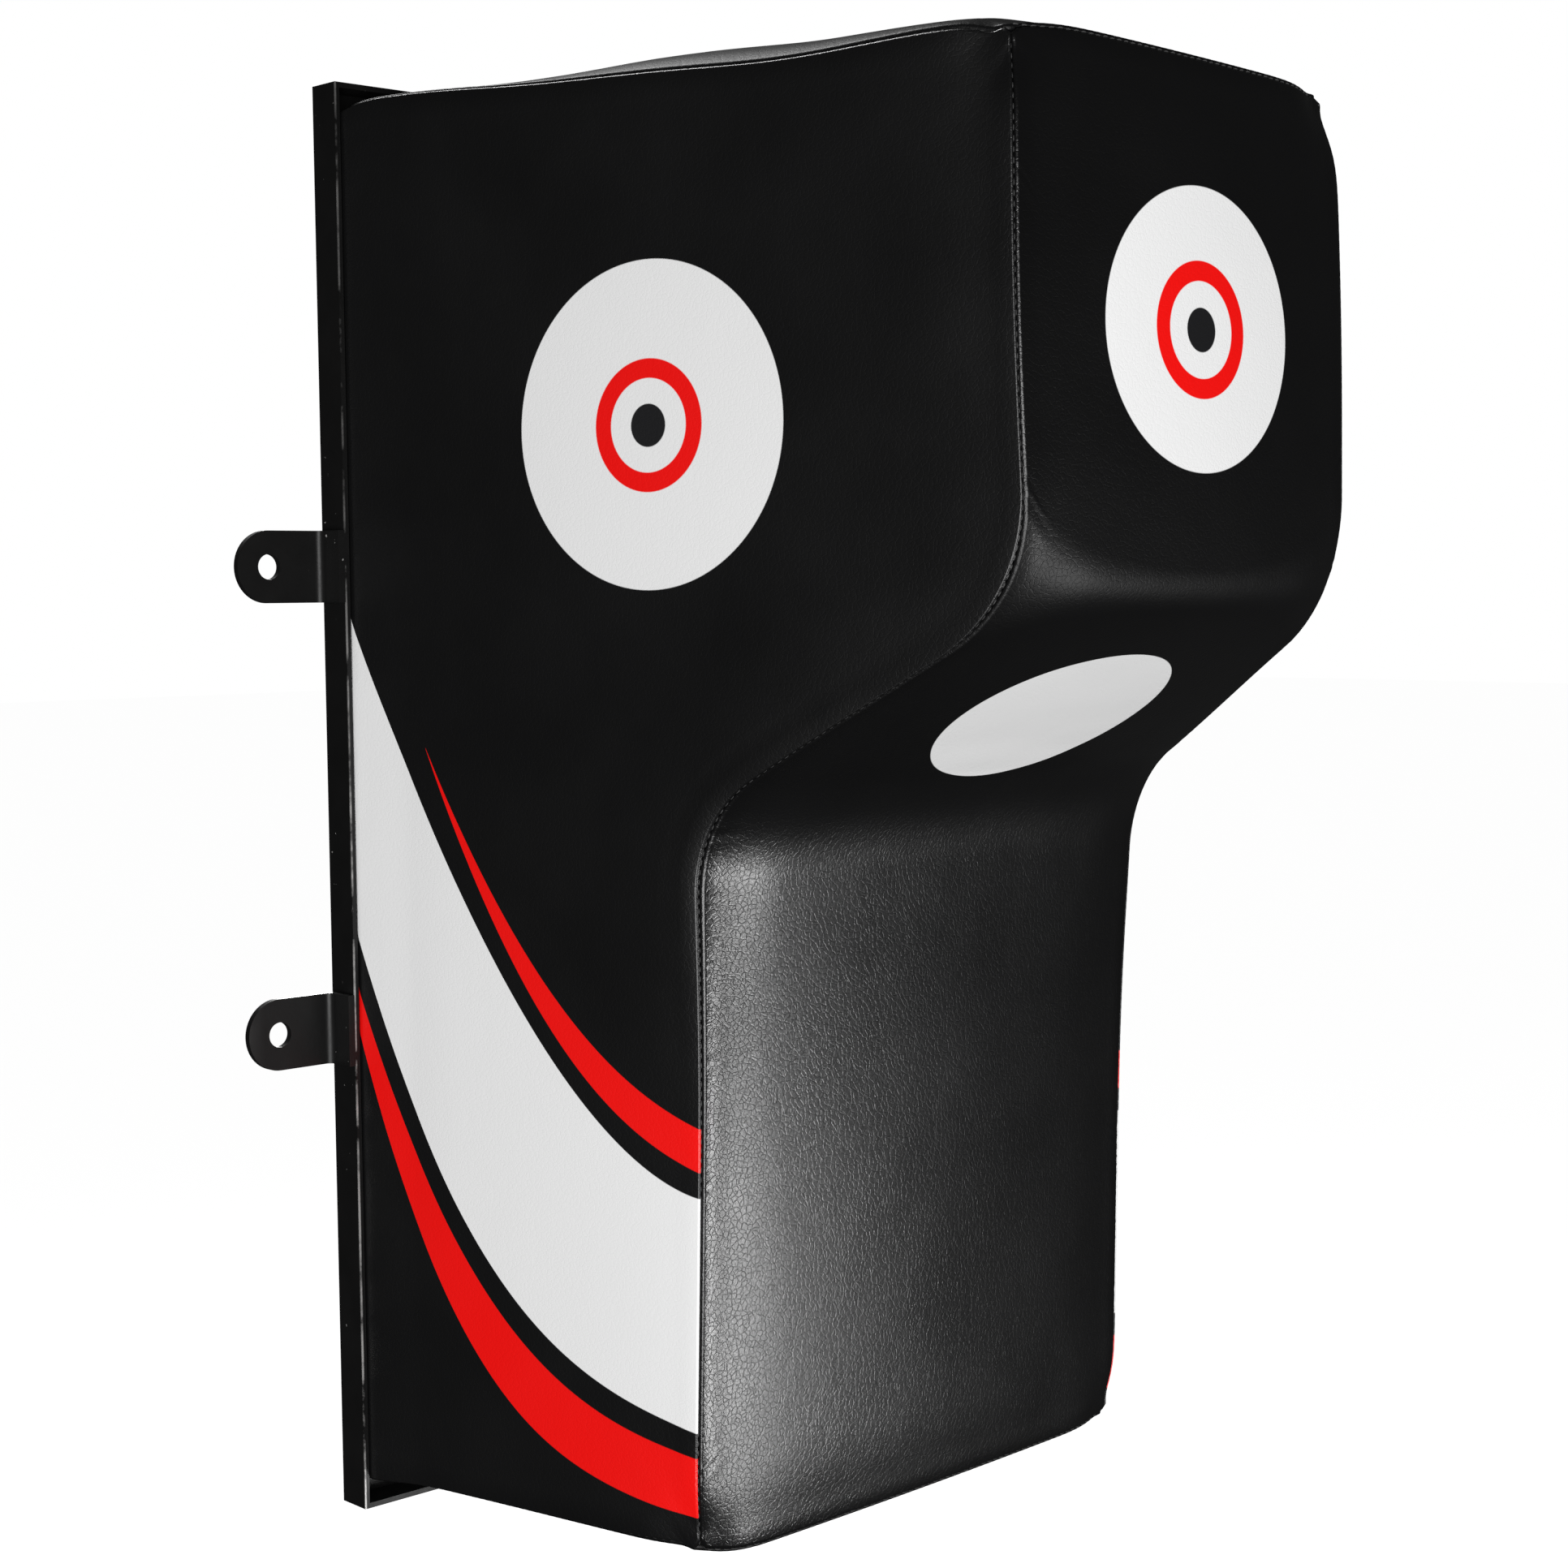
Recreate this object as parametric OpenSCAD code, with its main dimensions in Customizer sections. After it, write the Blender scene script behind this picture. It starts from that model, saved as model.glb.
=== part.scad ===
// Wall-mounted uppercut pad: an angle-iron frame with four bolt lugs, and a
// leather-covered foam pad on a plywood board that sits in the frame.
// The origin is the middle of the four bolt holes, on the wall.
// +X is to the right of a person facing the pad, +Z is up and the pad stands out along -Y.
// Depths are distances out from the wall.

/* [Frame] */
// Height of the steel frame
frame_h = 800; // [720:5:900]
// Width of the steel frame
frame_w = 450; // [430:5:520]
// Depth of the flanges that stand out from the wall
flange_d = 22; // [20:1:30]
// Width of the legs that lie on the wall
wall_leg = 30; // [28:1:40]
// Thickness of the frame's steel
steel_t = 3; // [2:0.5:4]

/* [Lugs] */
// Width of the flat bar that the lugs are bent from
lug_w = 40; // [30:1:50]
// Thickness of the flat bar
lug_t = 4; // [3:0.5:5]
// Radius inside the lug's bend
lug_bend_r = 4; // [3:0.5:6]
// Diameter of the bolt hole in a lug
lug_hole_d = 14; // [8:0.5:16]
// From the frame's side to the centre of the bolt hole
lug_reach = 37.5; // [35:0.5:60]
// Height between the upper and lower bolt holes
lug_pitch = 260; // [200:5:500]
// How far the middle of the bolt holes lies above the middle of the frame
lug_rise = 5; // [0:1:30]

/* [Pad] */
// From the frame's top and bottom edges to the pad
end_gap = 18; // [12:1:24]
// Gap between the pad's sides and the flanges
side_gap = 1; // [0.5:0.5:3]
// Angle at which each side of the pad narrows towards the front
side_taper = 12.8; // [8:0.2:15]
// Depth of the lower front face at its foot
foot_depth = 254.5; // [220:0.5:280]
// Angle at which the lower front face leans forwards
low_lean = 1.6; // [0:0.1:3]
// Height of the inner corner above the pad's bottom
corner_h = 385.5; // [340:0.5:420]
// Depth of the head at its nose
nose_depth = 447.5; // [420:0.5:470]
// Height of the nose above the pad's bottom
nose_h = 493.5; // [470:0.5:540]
// Angle at which the head's front face leans back
head_lean = 1.5; // [0:0.1:3]
// Radius of the inner corner
corner_r = 64; // [40:1:80]
// Radius of the nose
nose_r = 60; // [40:1:70]

/* [Filling] */
// Thickness of the plywood board
board_t = 12; // [9:1:18]
// Thickness of the leather
leather_t = 1.2; // [0.8:0.1:2]
// Depth of the foam slab that is glued to the board
base_foam_t = 44; // [30:1:60]
// Thickness of the soft foam behind the front
front_foam_t = 18; // [10:1:30]
// Thickness of the soft foam on each side
side_foam_t = 10; // [6:1:15]
// Thickness of the soft foam on the top and the bottom
end_foam_t = 12; // [6:1:20]

/* [Fixings] */
// Width of the leather that is turned over the back of the board
hem_w = 38; // [34:1:60]
// From the pad's edge to the row of staples
staple_inset = 32; // [31:0.5:50]
// Largest distance between neighbouring staples
staple_pitch = 65; // [40:5:100]
// Number of board screws on each side of the frame
screws_a_side = 5; // [2:1:7]
// From the frame's ends to the first and last screw
screw_end = 60; // [50:5:100]

/* [Hidden] */
$fn = 48;

// Colours
black_paint = [0.05, 0.05, 0.05];
black_leather = [0.09, 0.09, 0.09];
zinc = [0.72, 0.70, 0.62];
plywood = [0.76, 0.60, 0.40];
firm_foam = [0.35, 0.45, 0.62];
soft_foam = [0.86, 0.83, 0.70];

// Frame and pad, from side to side and from bottom to top
half_w = frame_w / 2;
frame_bottom = -frame_h / 2 - lug_rise;
frame_top = frame_bottom + frame_h;
pad_half = half_w - steel_t - side_gap;
pad_bottom = frame_bottom + end_gap;
pad_top = frame_top - end_gap;

// Layers out from the wall
board_back = steel_t + leather_t;
board_front = board_back + board_t;
base_front = board_front + base_foam_t;

// Insets of the layers from the outside of the leather
front_core = leather_t + front_foam_t;
side_core = leather_t + side_foam_t;
end_core = leather_t + end_foam_t;

// Corners of the side profile as [depth, height]
corner_z = pad_bottom + corner_h;
nose_z = pad_bottom + nose_h;
foot = [foot_depth, pad_bottom];
corner = [foot_depth + corner_h * tan(low_lean), corner_z];
nose = [nose_depth, nose_z];
brow = [nose_depth - (pad_top - nose_z) * tan(head_lean), pad_top];

// Directions of the three front faces, up along the profile
low_dir = 90 - low_lean;
slope_dir = atan2(nose[1] - corner[1], nose[0] - corner[0]);
head_dir = 90 + head_lean;

arc_steps = 5;
beyond = 600;

// Fixings
screw_x = half_w - wall_leg / 2;
screw_gap = (frame_h - 2 * screw_end) / (screws_a_side - 1);
screw_zs = [for (i = [0:screws_a_side - 1]) frame_bottom + screw_end + i * screw_gap];
screw_head_r = 4.2;
screw_head_h = 2;
screw_r = 2.1;
screw_len = 13;
screw_bore_r = 2.2;
recess_w = 0.9;
recess_l = 4.4;
recess_h = 1.2;
staple_wire = 0.7;
staple_crown = 10;
staple_leg = 8;
staple_legs_apart = staple_crown - staple_wire;

// Unit vector square to a direction and to the right of it, which is out of the pad
function out(dir) = [sin(dir), -cos(dir)];

// Where two lines meet, each given by a point and a direction
function meet(p, p_dir, q, q_dir) =
    let (t = cross(q - p, [cos(q_dir), sin(q_dir)]) / sin(q_dir - p_dir))
    p + t * [cos(p_dir), sin(p_dir)];

// Centres of the two round corners
corner_centre = meet(corner + corner_r * out(low_dir), low_dir,
                     corner + corner_r * out(slope_dir), slope_dir);
nose_centre = meet(nose - nose_r * out(slope_dir), slope_dir,
                   nose - nose_r * out(head_dir), head_dir);

// The directions at which each round corner is cut between the facing foams
corner_mid = (low_dir + slope_dir) / 2;
nose_mid = (slope_dir + head_dir) / 2;

// Arc round a centre, from one direction of travel to another
function arc(centre, r, from, to) =
    [for (i = [0:arc_steps]) centre + r * out(from + (to - from) * i / arc_steps)];

// Pieces of the front profile at an inset from the outside
function low_line(inset) = concat(
    [meet(foot - inset * out(low_dir), low_dir, foot, 0)],
    arc(corner_centre, -corner_r - inset, low_dir, corner_mid));
function slope_line(inset) = concat(
    arc(corner_centre, -corner_r - inset, corner_mid, slope_dir),
    arc(nose_centre, nose_r - inset, slope_dir, nose_mid));
function head_line(inset) = concat(
    arc(nose_centre, nose_r - inset, nose_mid, head_dir),
    [meet(brow - inset * out(head_dir), head_dir, brow, 0)]);
function tail(points) = [for (i = [1:len(points) - 1]) points[i]];
function front_line(inset) =
    concat(low_line(inset), tail(slope_line(inset)), tail(head_line(inset)));
function reversed(points) = [for (i = [len(points) - 1:-1:0]) points[i]];

// Half width of the pad at a depth, and the depth where its taper starts, at an inset
function half_at(depth, inset) =
    pad_half - inset / cos(side_taper) - (depth - flange_d) * tan(side_taper);
function taper_start(inset) = flange_d - inset * tan(side_taper / 2);

// A solid across the pad from a profile given as [depth, height]
module across(profile) {
    rotate([90, 0, -90])
        linear_extrude(height = frame_w, center = true)
            polygon(profile);
}

// The layer between two insets from the front, over the given pieces of its profile
module front_layer(outer, inner) {
    across(concat(outer, reversed(inner)));
}

// Everything behind the front at an inset, from a depth outwards and between two heights
module behind_front(inset, depth, low, high) {
    intersection() {
        across(concat([[depth, pad_bottom]], front_line(inset), [[depth, pad_top]]));
        translate([-frame_w, -beyond, low])
            cube([2 * frame_w, beyond, high - low]);
    }
}

// The width of the pad at an inset from its sides
module between_sides(inset) {
    side = [
        [pad_half - inset, 0],
        [pad_half - inset, -taper_start(inset)],
        [half_at(beyond, inset), -beyond]
    ];
    translate([0, 0, pad_bottom - 1])
        linear_extrude(height = pad_top - pad_bottom + 2)
            polygon(concat(side, [for (p = reversed(side)) [-p[0], p[1]]]));
}

// The layer between two insets from the right side
module right_layer(outer, inner) {
    translate([0, 0, pad_bottom - 1])
        linear_extrude(height = pad_top - pad_bottom + 2)
            polygon([
                [pad_half - inner, 0],
                [pad_half - outer, 0],
                [pad_half - outer, -taper_start(outer)],
                [half_at(beyond, outer), -beyond],
                [half_at(beyond, inner), -beyond],
                [pad_half - inner, -taper_start(inner)]
            ]);
}

// One angle bar with mitred ends, lying along X on the outer edge of the frame
module angle_bar(bar_len) {
    difference() {
        rotate([90, 0, 0])
            linear_extrude(height = flange_d)
                polygon([[0, 0], [bar_len, 0], [bar_len - wall_leg, wall_leg], [wall_leg, wall_leg]]);
        translate([-1, -flange_d - 1, steel_t])
            cube([bar_len + 2, flange_d + 1 - steel_t, wall_leg]);
    }
}

// One countersunk hole or screw head's cone with its shank, into the back at a height
module countersunk(x, z, r, depth) {
    translate([x, 0, z])
        rotate([90, 0, 0])
            union() {
                cylinder(h = screw_head_h, r1 = screw_head_r, r2 = r);
                cylinder(h = depth, r = r);
            }
}

module screw_holes(x, depth) {
    for (z = screw_zs)
        countersunk(x, z, screw_bore_r, depth);
}

module right_bar() {
    color(black_paint)
        difference() {
            translate([half_w, 0, frame_bottom])
                rotate([0, -90, 0])
                    angle_bar(frame_h);
            screw_holes(screw_x, steel_t + 1);
        }
}

module right_frame_bar() {
    right_bar();
}

module left_frame_bar() {
    mirror([1, 0, 0])
        right_bar();
}

module bottom_frame_bar() {
    color(black_paint)
        translate([-half_w, 0, frame_bottom])
            angle_bar(frame_w);
}

module top_frame_bar() {
    color(black_paint)
        translate([-half_w, 0, frame_top])
            mirror([0, 0, 1])
                angle_bar(frame_w);
}

// One lug on the right side, bent from flat bar: a leg on the flange and a leg on the wall
module lug(level) {
    bend = lug_bend_r + lug_t;
    hole_x = half_w + lug_reach;
    color(black_paint)
        translate([0, 0, level * lug_pitch / 2])
            difference() {
                union() {
                    translate([half_w, -flange_d, -lug_w / 2])
                        cube([lug_t, flange_d - bend, lug_w]);
                    translate([half_w + bend, -lug_t, -lug_w / 2])
                        cube([lug_reach - bend, lug_t, lug_w]);
                    translate([hole_x, 0, 0])
                        rotate([90, 0, 0])
                            cylinder(h = lug_t, r = lug_w / 2);
                    intersection() {
                        translate([half_w + bend, -bend, -lug_w / 2])
                            difference() {
                                cylinder(h = lug_w, r = bend);
                                translate([0, 0, -1])
                                    cylinder(h = lug_w + 2, r = lug_bend_r);
                            }
                        translate([half_w, -bend, -lug_w / 2])
                            cube([bend, bend, lug_w]);
                    }
                }
                translate([hole_x, 1, 0])
                    rotate([90, 0, 0])
                        cylinder(h = lug_t + 2, d = lug_hole_d);
            }
}

module upper_right_lug() {
    lug(1);
}

module lower_right_lug() {
    lug(-1);
}

module upper_left_lug() {
    mirror([1, 0, 0])
        lug(1);
}

module lower_left_lug() {
    mirror([1, 0, 0])
        lug(-1);
}

// Runs its children at every place in an evenly spaced row of staples along X or Z
module staple_row(from, to) {
    gaps = ceil((to - from) / staple_pitch);
    for (i = [0:gaps])
        translate([from + (to - from) * i / gaps, 0, 0])
            children();
}

// Runs its children at every staple, with X along the pad's edge
module at_staples() {
    x_end = pad_half - staple_inset;
    z_low = pad_bottom + staple_inset;
    z_high = pad_top - staple_inset;
    side_low = z_low + staple_inset;
    side_high = z_high - staple_inset;
    for (z = [z_low, z_high])
        translate([0, -steel_t, z])
            staple_row(staple_inset - x_end, x_end - staple_inset)
                children();
    for (x = [-x_end, x_end])
        translate([x, -steel_t, 0])
            rotate([0, -90, 0])
                staple_row(side_low, side_high)
                    children();
}

// The two legs of one staple, from the outside of the hem into the board
module staple_legs() {
    for (side = [-1, 1])
        translate([side * staple_legs_apart / 2 - staple_wire / 2, -staple_leg, -staple_wire / 2])
            cube([staple_wire, staple_leg, staple_wire]);
}

module staples() {
    color(zinc)
        at_staples() {
            union() {
                staple_legs();
                translate([-staple_crown / 2, 0, -staple_wire / 2])
                    cube([staple_crown, staple_wire, staple_wire]);
            }
        }
}

module backboard() {
    board_half = pad_half - leather_t;
    color(plywood)
        difference() {
            translate([-board_half, -board_front, pad_bottom + leather_t])
                cube([2 * board_half, board_t, pad_top - pad_bottom - 2 * leather_t]);
            for (x = [-screw_x, screw_x])
                screw_holes(x, screw_len + 1);
            at_staples()
                staple_legs();
        }
}

module board_screws() {
    color(zinc)
        for (x = [-screw_x, screw_x])
            for (z = screw_zs)
                difference() {
                    countersunk(x, z, screw_r, screw_len);
                    for (turn = [0, 90])
                        translate([x, 0, z])
                            rotate([0, turn, 0])
                                translate([-recess_l / 2, -recess_h, -recess_w / 2])
                                    cube([recess_l, recess_h + 1, recess_w]);
                }
}

module base_foam() {
    color(firm_foam)
        intersection() {
            behind_front(front_core, board_front, pad_bottom + end_core, pad_top - end_core);
            between_sides(side_core);
            translate([-frame_w, -base_front, frame_bottom])
                cube([2 * frame_w, base_front, frame_h]);
        }
}

module lower_core_foam() {
    color(firm_foam)
        intersection() {
            behind_front(front_core, base_front, pad_bottom + end_core, corner_z);
            between_sides(side_core);
        }
}

module head_core_foam() {
    color(firm_foam)
        intersection() {
            behind_front(front_core, base_front, corner_z, pad_top - end_core);
            between_sides(side_core);
        }
}

// One piece of the soft foam behind the front leather
module front_foam(outer, inner) {
    color(soft_foam)
        intersection() {
            front_layer(outer, inner);
            between_sides(side_core);
            translate([-frame_w, -beyond, pad_bottom + leather_t])
                cube([2 * frame_w, beyond, pad_top - pad_bottom - 2 * leather_t]);
        }
}

module lower_front_foam() {
    front_foam(low_line(leather_t), low_line(front_core));
}

module slope_foam() {
    front_foam(slope_line(leather_t), slope_line(front_core));
}

module upper_front_foam() {
    front_foam(head_line(leather_t), head_line(front_core));
}

// Foam under the right side's leather, between two heights
module side_foam(low, high) {
    color(soft_foam)
        intersection() {
            behind_front(leather_t, board_front, low, high);
            right_layer(leather_t, side_core);
        }
}

module right_lower_side_foam() {
    side_foam(pad_bottom + leather_t, corner_z);
}

module right_head_side_foam() {
    side_foam(corner_z, pad_top - leather_t);
}

module left_lower_side_foam() {
    mirror([1, 0, 0])
        right_lower_side_foam();
}

module left_head_side_foam() {
    mirror([1, 0, 0])
        right_head_side_foam();
}

// Foam between the side foams and behind the front foam, between two heights
module end_foam(low, high) {
    color(soft_foam)
        intersection() {
            behind_front(front_core, board_front, low, high);
            between_sides(side_core);
        }
}

module top_foam() {
    end_foam(pad_top - end_core, pad_top - leather_t);
}

module bottom_foam() {
    end_foam(pad_bottom + leather_t, pad_bottom + end_core);
}

module front_panel() {
    color(black_leather)
        intersection() {
            front_layer(front_line(0), front_line(leather_t));
            between_sides(leather_t);
        }
}

module right_panel() {
    color(black_leather)
        intersection() {
            behind_front(0, steel_t, pad_bottom, pad_top);
            right_layer(0, leather_t);
        }
}

module right_side_panel() {
    right_panel();
}

module left_side_panel() {
    mirror([1, 0, 0])
        right_panel();
}

// Leather between the side panels and behind the front panel, between two heights
module end_panel(low, high) {
    color(black_leather)
        intersection() {
            behind_front(leather_t, steel_t, low, high);
            between_sides(leather_t);
        }
}

module top_panel() {
    end_panel(pad_top - leather_t, pad_top);
}

module bottom_panel() {
    end_panel(pad_bottom, pad_bottom + leather_t);
}

// One strip of leather on the back of the board, with mitred ends, from a lower left corner
module hem(strip_len) {
    rotate([90, 0, 0])
        linear_extrude(height = leather_t)
            polygon([[0, 0], [strip_len, 0], [strip_len - hem_w, hem_w], [hem_w, hem_w]]);
}

hem_half = pad_half - leather_t;
hem_bottom = pad_bottom + leather_t;
hem_top = pad_top - leather_t;

module bottom_strip() {
    color(black_leather)
        difference() {
            translate([-hem_half, -steel_t, hem_bottom])
                hem(2 * hem_half);
            at_staples()
                staple_legs();
        }
}

module bottom_hem() {
    bottom_strip();
}

module top_hem() {
    translate([0, 0, pad_bottom + pad_top])
        mirror([0, 0, 1])
            bottom_strip();
}

module right_strip() {
    color(black_leather)
        difference() {
            translate([hem_half, -steel_t, hem_bottom])
                rotate([0, -90, 0])
                    hem(hem_top - hem_bottom);
            screw_holes(screw_x, board_back + 1);
            at_staples()
                staple_legs();
        }
}

module right_hem() {
    right_strip();
}

module left_hem() {
    mirror([1, 0, 0])
        right_strip();
}

left_frame_bar();
right_frame_bar();
top_frame_bar();
bottom_frame_bar();
upper_left_lug();
lower_left_lug();
upper_right_lug();
lower_right_lug();
backboard();
board_screws();
base_foam();
lower_core_foam();
head_core_foam();
lower_front_foam();
slope_foam();
upper_front_foam();
left_lower_side_foam();
left_head_side_foam();
right_lower_side_foam();
right_head_side_foam();
top_foam();
bottom_foam();
front_panel();
left_side_panel();
right_side_panel();
top_panel();
bottom_panel();
left_hem();
right_hem();
top_hem();
bottom_hem();
staples();
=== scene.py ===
"""A wall-mounted uppercut pad: leather covers over foam, in a painted angle-iron frame.

The covers, their seams and their stitches are made here. The frame, its lugs, the board, the
hems and the fixings are the CAD nodes with materials of their own. Sizes are in millimetres
and become metres when a mesh is made. Depths are distances out from the wall, along -Y.
"""

import math

import bpy
import numpy as np
from mathutils import Matrix, Vector
from mathutils.kdtree import KDTree


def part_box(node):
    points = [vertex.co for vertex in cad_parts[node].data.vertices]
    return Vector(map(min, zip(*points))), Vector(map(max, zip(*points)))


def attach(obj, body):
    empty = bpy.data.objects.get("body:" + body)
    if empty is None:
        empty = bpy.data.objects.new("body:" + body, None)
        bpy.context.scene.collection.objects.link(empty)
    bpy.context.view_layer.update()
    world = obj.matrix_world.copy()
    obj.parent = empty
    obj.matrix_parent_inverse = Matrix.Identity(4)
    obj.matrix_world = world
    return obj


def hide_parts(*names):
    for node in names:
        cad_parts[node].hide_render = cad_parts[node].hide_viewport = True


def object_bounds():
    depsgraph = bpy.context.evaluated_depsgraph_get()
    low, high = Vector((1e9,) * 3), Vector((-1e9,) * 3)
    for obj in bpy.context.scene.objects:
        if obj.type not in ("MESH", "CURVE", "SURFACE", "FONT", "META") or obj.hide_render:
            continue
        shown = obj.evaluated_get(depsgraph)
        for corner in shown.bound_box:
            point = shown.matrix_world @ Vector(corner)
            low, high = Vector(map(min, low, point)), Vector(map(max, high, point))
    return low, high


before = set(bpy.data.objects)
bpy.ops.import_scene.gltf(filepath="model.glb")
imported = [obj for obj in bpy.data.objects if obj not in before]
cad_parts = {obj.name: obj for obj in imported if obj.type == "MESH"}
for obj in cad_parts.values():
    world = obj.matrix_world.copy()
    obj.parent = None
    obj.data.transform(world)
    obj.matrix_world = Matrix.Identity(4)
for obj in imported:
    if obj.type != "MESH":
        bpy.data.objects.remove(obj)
cad_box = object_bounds()

MM = 0.001


def box_mm(node):
    """Lowest and highest corner of a CAD node, in millimetres."""
    return [np.array(corner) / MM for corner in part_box(node)]


# ---------------- sizes from the frame

PAD_LOW, PAD_HIGH = box_mm("right_side_panel")
PAD_HALF = PAD_HIGH[0]
PAD_BOTTOM = PAD_LOW[2]
PAD_TOP = PAD_HIGH[2]
REAR_D = -PAD_HIGH[1]
FLANGE_D = -box_mm("left_frame_bar")[0][1]
FRAME_HALF = -box_mm("left_frame_bar")[0][0]
BOARD_FRONT = -box_mm("backboard")[0][1]
LEATHER_T = 1.2

# The outline of the pad, as in the CAD
SIDE_TAPER = math.radians(12.8)
LOW_LEAN = math.radians(1.6)
HEAD_LEAN = math.radians(1.5)
FOOT_D = 254.5
CORNER_Z = PAD_BOTTOM + 385.5
NOSE_D = 447.5
NOSE_Z = PAD_BOTTOM + 493.5

# The seams lie inside that outline, and the covers are crowned between them
LOW_SEAM_INSET = 10.5
SLOPE_SEAM_INSET = 5.0
HEAD_SEAM_INSET = 8.0
SLOPE_CREST_INSET = 1.0
SIDE_SEAM_INSET = 2.5
SEAM_CORNER_R = 72.0
SEAM_NOSE_R = 92.0
CREST_CORNER_R = 64.0
CREST_NOSE_R = 24.0
SEAM_TOP = PAD_TOP + 1.5
BROW_DROP = 3.0
SEAM_BOTTOM = PAD_BOTTOM + 0.5

# Seams and stitches
STITCH_PITCH = 5.0
SEAM_DEPTH = 5.0
SIDE_LIP = 1.7
FRONT_LIP = 3.3
END_LIP = 2.3


# ---------------- small tools

def unit(vectors):
    return vectors / np.linalg.norm(vectors, axis=-1, keepdims=True)


def rise(distance, width, power):
    """From 0 at an edge to 1 at a distance of width, steep at first."""
    return 1 - (1 - np.clip(distance / width, 0, 1)) ** power


def smooth(low, high, values):
    t = np.clip((values - low) / (high - low), 0, 1)
    return t * t * (3 - 2 * t)


def hump(values, middle, width):
    return np.exp(-(((values - middle) / width) ** 2))


def wander(along, seed, longest, count=5):
    """Smooth noise along a line, about -1 to 1, with waves down from the longest."""
    rng = np.random.default_rng(seed)
    total = np.zeros_like(along)
    for k in range(count):
        wave = longest / (1 + 0.73 * k)
        total += np.sin(2 * np.pi * along / wave + rng.uniform(0, 2 * np.pi))
    return total / math.sqrt(count)


def run_along(points):
    """Each point's distance along the polyline through them all."""
    return np.concatenate([[0], np.cumsum(np.linalg.norm(np.diff(points, axis=0), axis=1))])


def between(s, run, points):
    """Points at distances s along a polyline, whose own points are at the distances in run."""
    return np.stack([np.interp(s, run, column) for column in points.T], axis=-1)


class Line:
    """A polyline in a panel's flat plane, measured along its length."""

    def __init__(self, points):
        self.points = np.array(points, float)
        self.run = run_along(self.points)
        self.length = self.run[-1]

    def at(self, s):
        return between(s, self.run, self.points)

    def inward(self, s):
        """Unit normals to the left of the line."""
        reach = 2.0
        ahead = self.at(np.minimum(s + reach, self.length))
        behind = self.at(np.maximum(s - reach, 0))
        along = unit(ahead - behind)
        return np.stack([-along[..., 1], along[..., 0]], axis=-1)


# ---------------- the front's profile

LOW_DIR = math.pi / 2 - LOW_LEAN
HEAD_DIR = math.pi / 2 + HEAD_LEAN
CORNER_D = FOOT_D + (CORNER_Z - PAD_BOTTOM) * math.tan(LOW_LEAN)
SLOPE_DIR = math.atan2(NOSE_Z - CORNER_Z, NOSE_D - CORNER_D)
ARC_STEPS = 64


def out(direction):
    """Unit vector out of the pad from a face that runs in a direction, as (depth, height)."""
    return np.array([math.sin(direction), -math.cos(direction)])


def meet(p, p_dir, q, q_dir):
    """Where two lines meet, each given by a point and a direction."""
    a = np.array([[math.cos(p_dir), -math.cos(q_dir)], [math.sin(p_dir), -math.sin(q_dir)]])
    t = np.linalg.solve(a, np.array(q) - np.array(p))[0]
    return np.array(p) + t * np.array([math.cos(p_dir), math.sin(p_dir)])


def bend(corner, start_dir, end_dir, radius, side):
    """An arc that rounds a corner, on the side of it that holds the arc's centre."""
    centre = meet(
        corner + side * radius * out(start_dir), start_dir,
        corner + side * radius * out(end_dir), end_dir,
    )
    turns = np.linspace(start_dir, end_dir, ARC_STEPS)
    return np.array([centre - side * radius * out(turn) for turn in turns])


def profile(insets, corner_r, nose_r):
    """The five stretches of the front's profile, inset on its three faces, as points."""
    foot = np.array([FOOT_D, PAD_BOTTOM]) - insets[0] * out(LOW_DIR)
    slope = np.array([CORNER_D, CORNER_Z]) - insets[1] * out(SLOPE_DIR)
    head = np.array([NOSE_D, NOSE_Z]) - insets[2] * out(HEAD_DIR)
    corner = meet(foot, LOW_DIR, slope, SLOPE_DIR)
    nose = meet(slope, SLOPE_DIR, head, HEAD_DIR)
    start = meet(foot, LOW_DIR, [0, SEAM_BOTTOM], 0)
    end = meet(head, HEAD_DIR, [0, SEAM_TOP - BROW_DROP], 0)
    low_bend = bend(corner, LOW_DIR, SLOPE_DIR, corner_r, 1)
    high_bend = bend(nose, SLOPE_DIR, HEAD_DIR, nose_r, -1)
    return [
        np.linspace(start, low_bend[0], ARC_STEPS),
        low_bend,
        np.linspace(low_bend[-1], high_bend[0], ARC_STEPS),
        high_bend,
        np.linspace(high_bend[-1], end, ARC_STEPS),
    ]


SEAM_INSETS = (LOW_SEAM_INSET, SLOPE_SEAM_INSET, HEAD_SEAM_INSET)
seam_stretches = profile(SEAM_INSETS, SEAM_CORNER_R, SEAM_NOSE_R)
crest_stretches = profile((0, SLOPE_CREST_INSET, 0), CREST_CORNER_R, CREST_NOSE_R)
front_seam = Line(np.concatenate([seam_stretches[0]] + [p[1:] for p in seam_stretches[1:]]))
crest_points = np.concatenate([crest_stretches[0]] + [p[1:] for p in crest_stretches[1:]])
CORNER_RUN = front_seam.run[ARC_STEPS - 1 + ARC_STEPS // 2]
NOSE_RUN = front_seam.run[3 * (ARC_STEPS - 1) + ARC_STEPS // 2]
SEAM_FOOT_D = front_seam.points[0, 0]
SEAM_BROW_D = front_seam.points[-1, 0]


def half_at(depth):
    """Half the pad's width at a depth, to the outside of its sides."""
    return PAD_HALF - np.maximum(depth - FLANGE_D, 0) * math.tan(SIDE_TAPER)


def seam_inset_at(depth):
    """How far the seams lie inside the sides, which is nothing behind the flanges."""
    return SIDE_SEAM_INSET * smooth(FLANGE_D, FLANGE_D + 40, depth)


def seam_half(depth):
    return half_at(depth) - seam_inset_at(depth)


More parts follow.
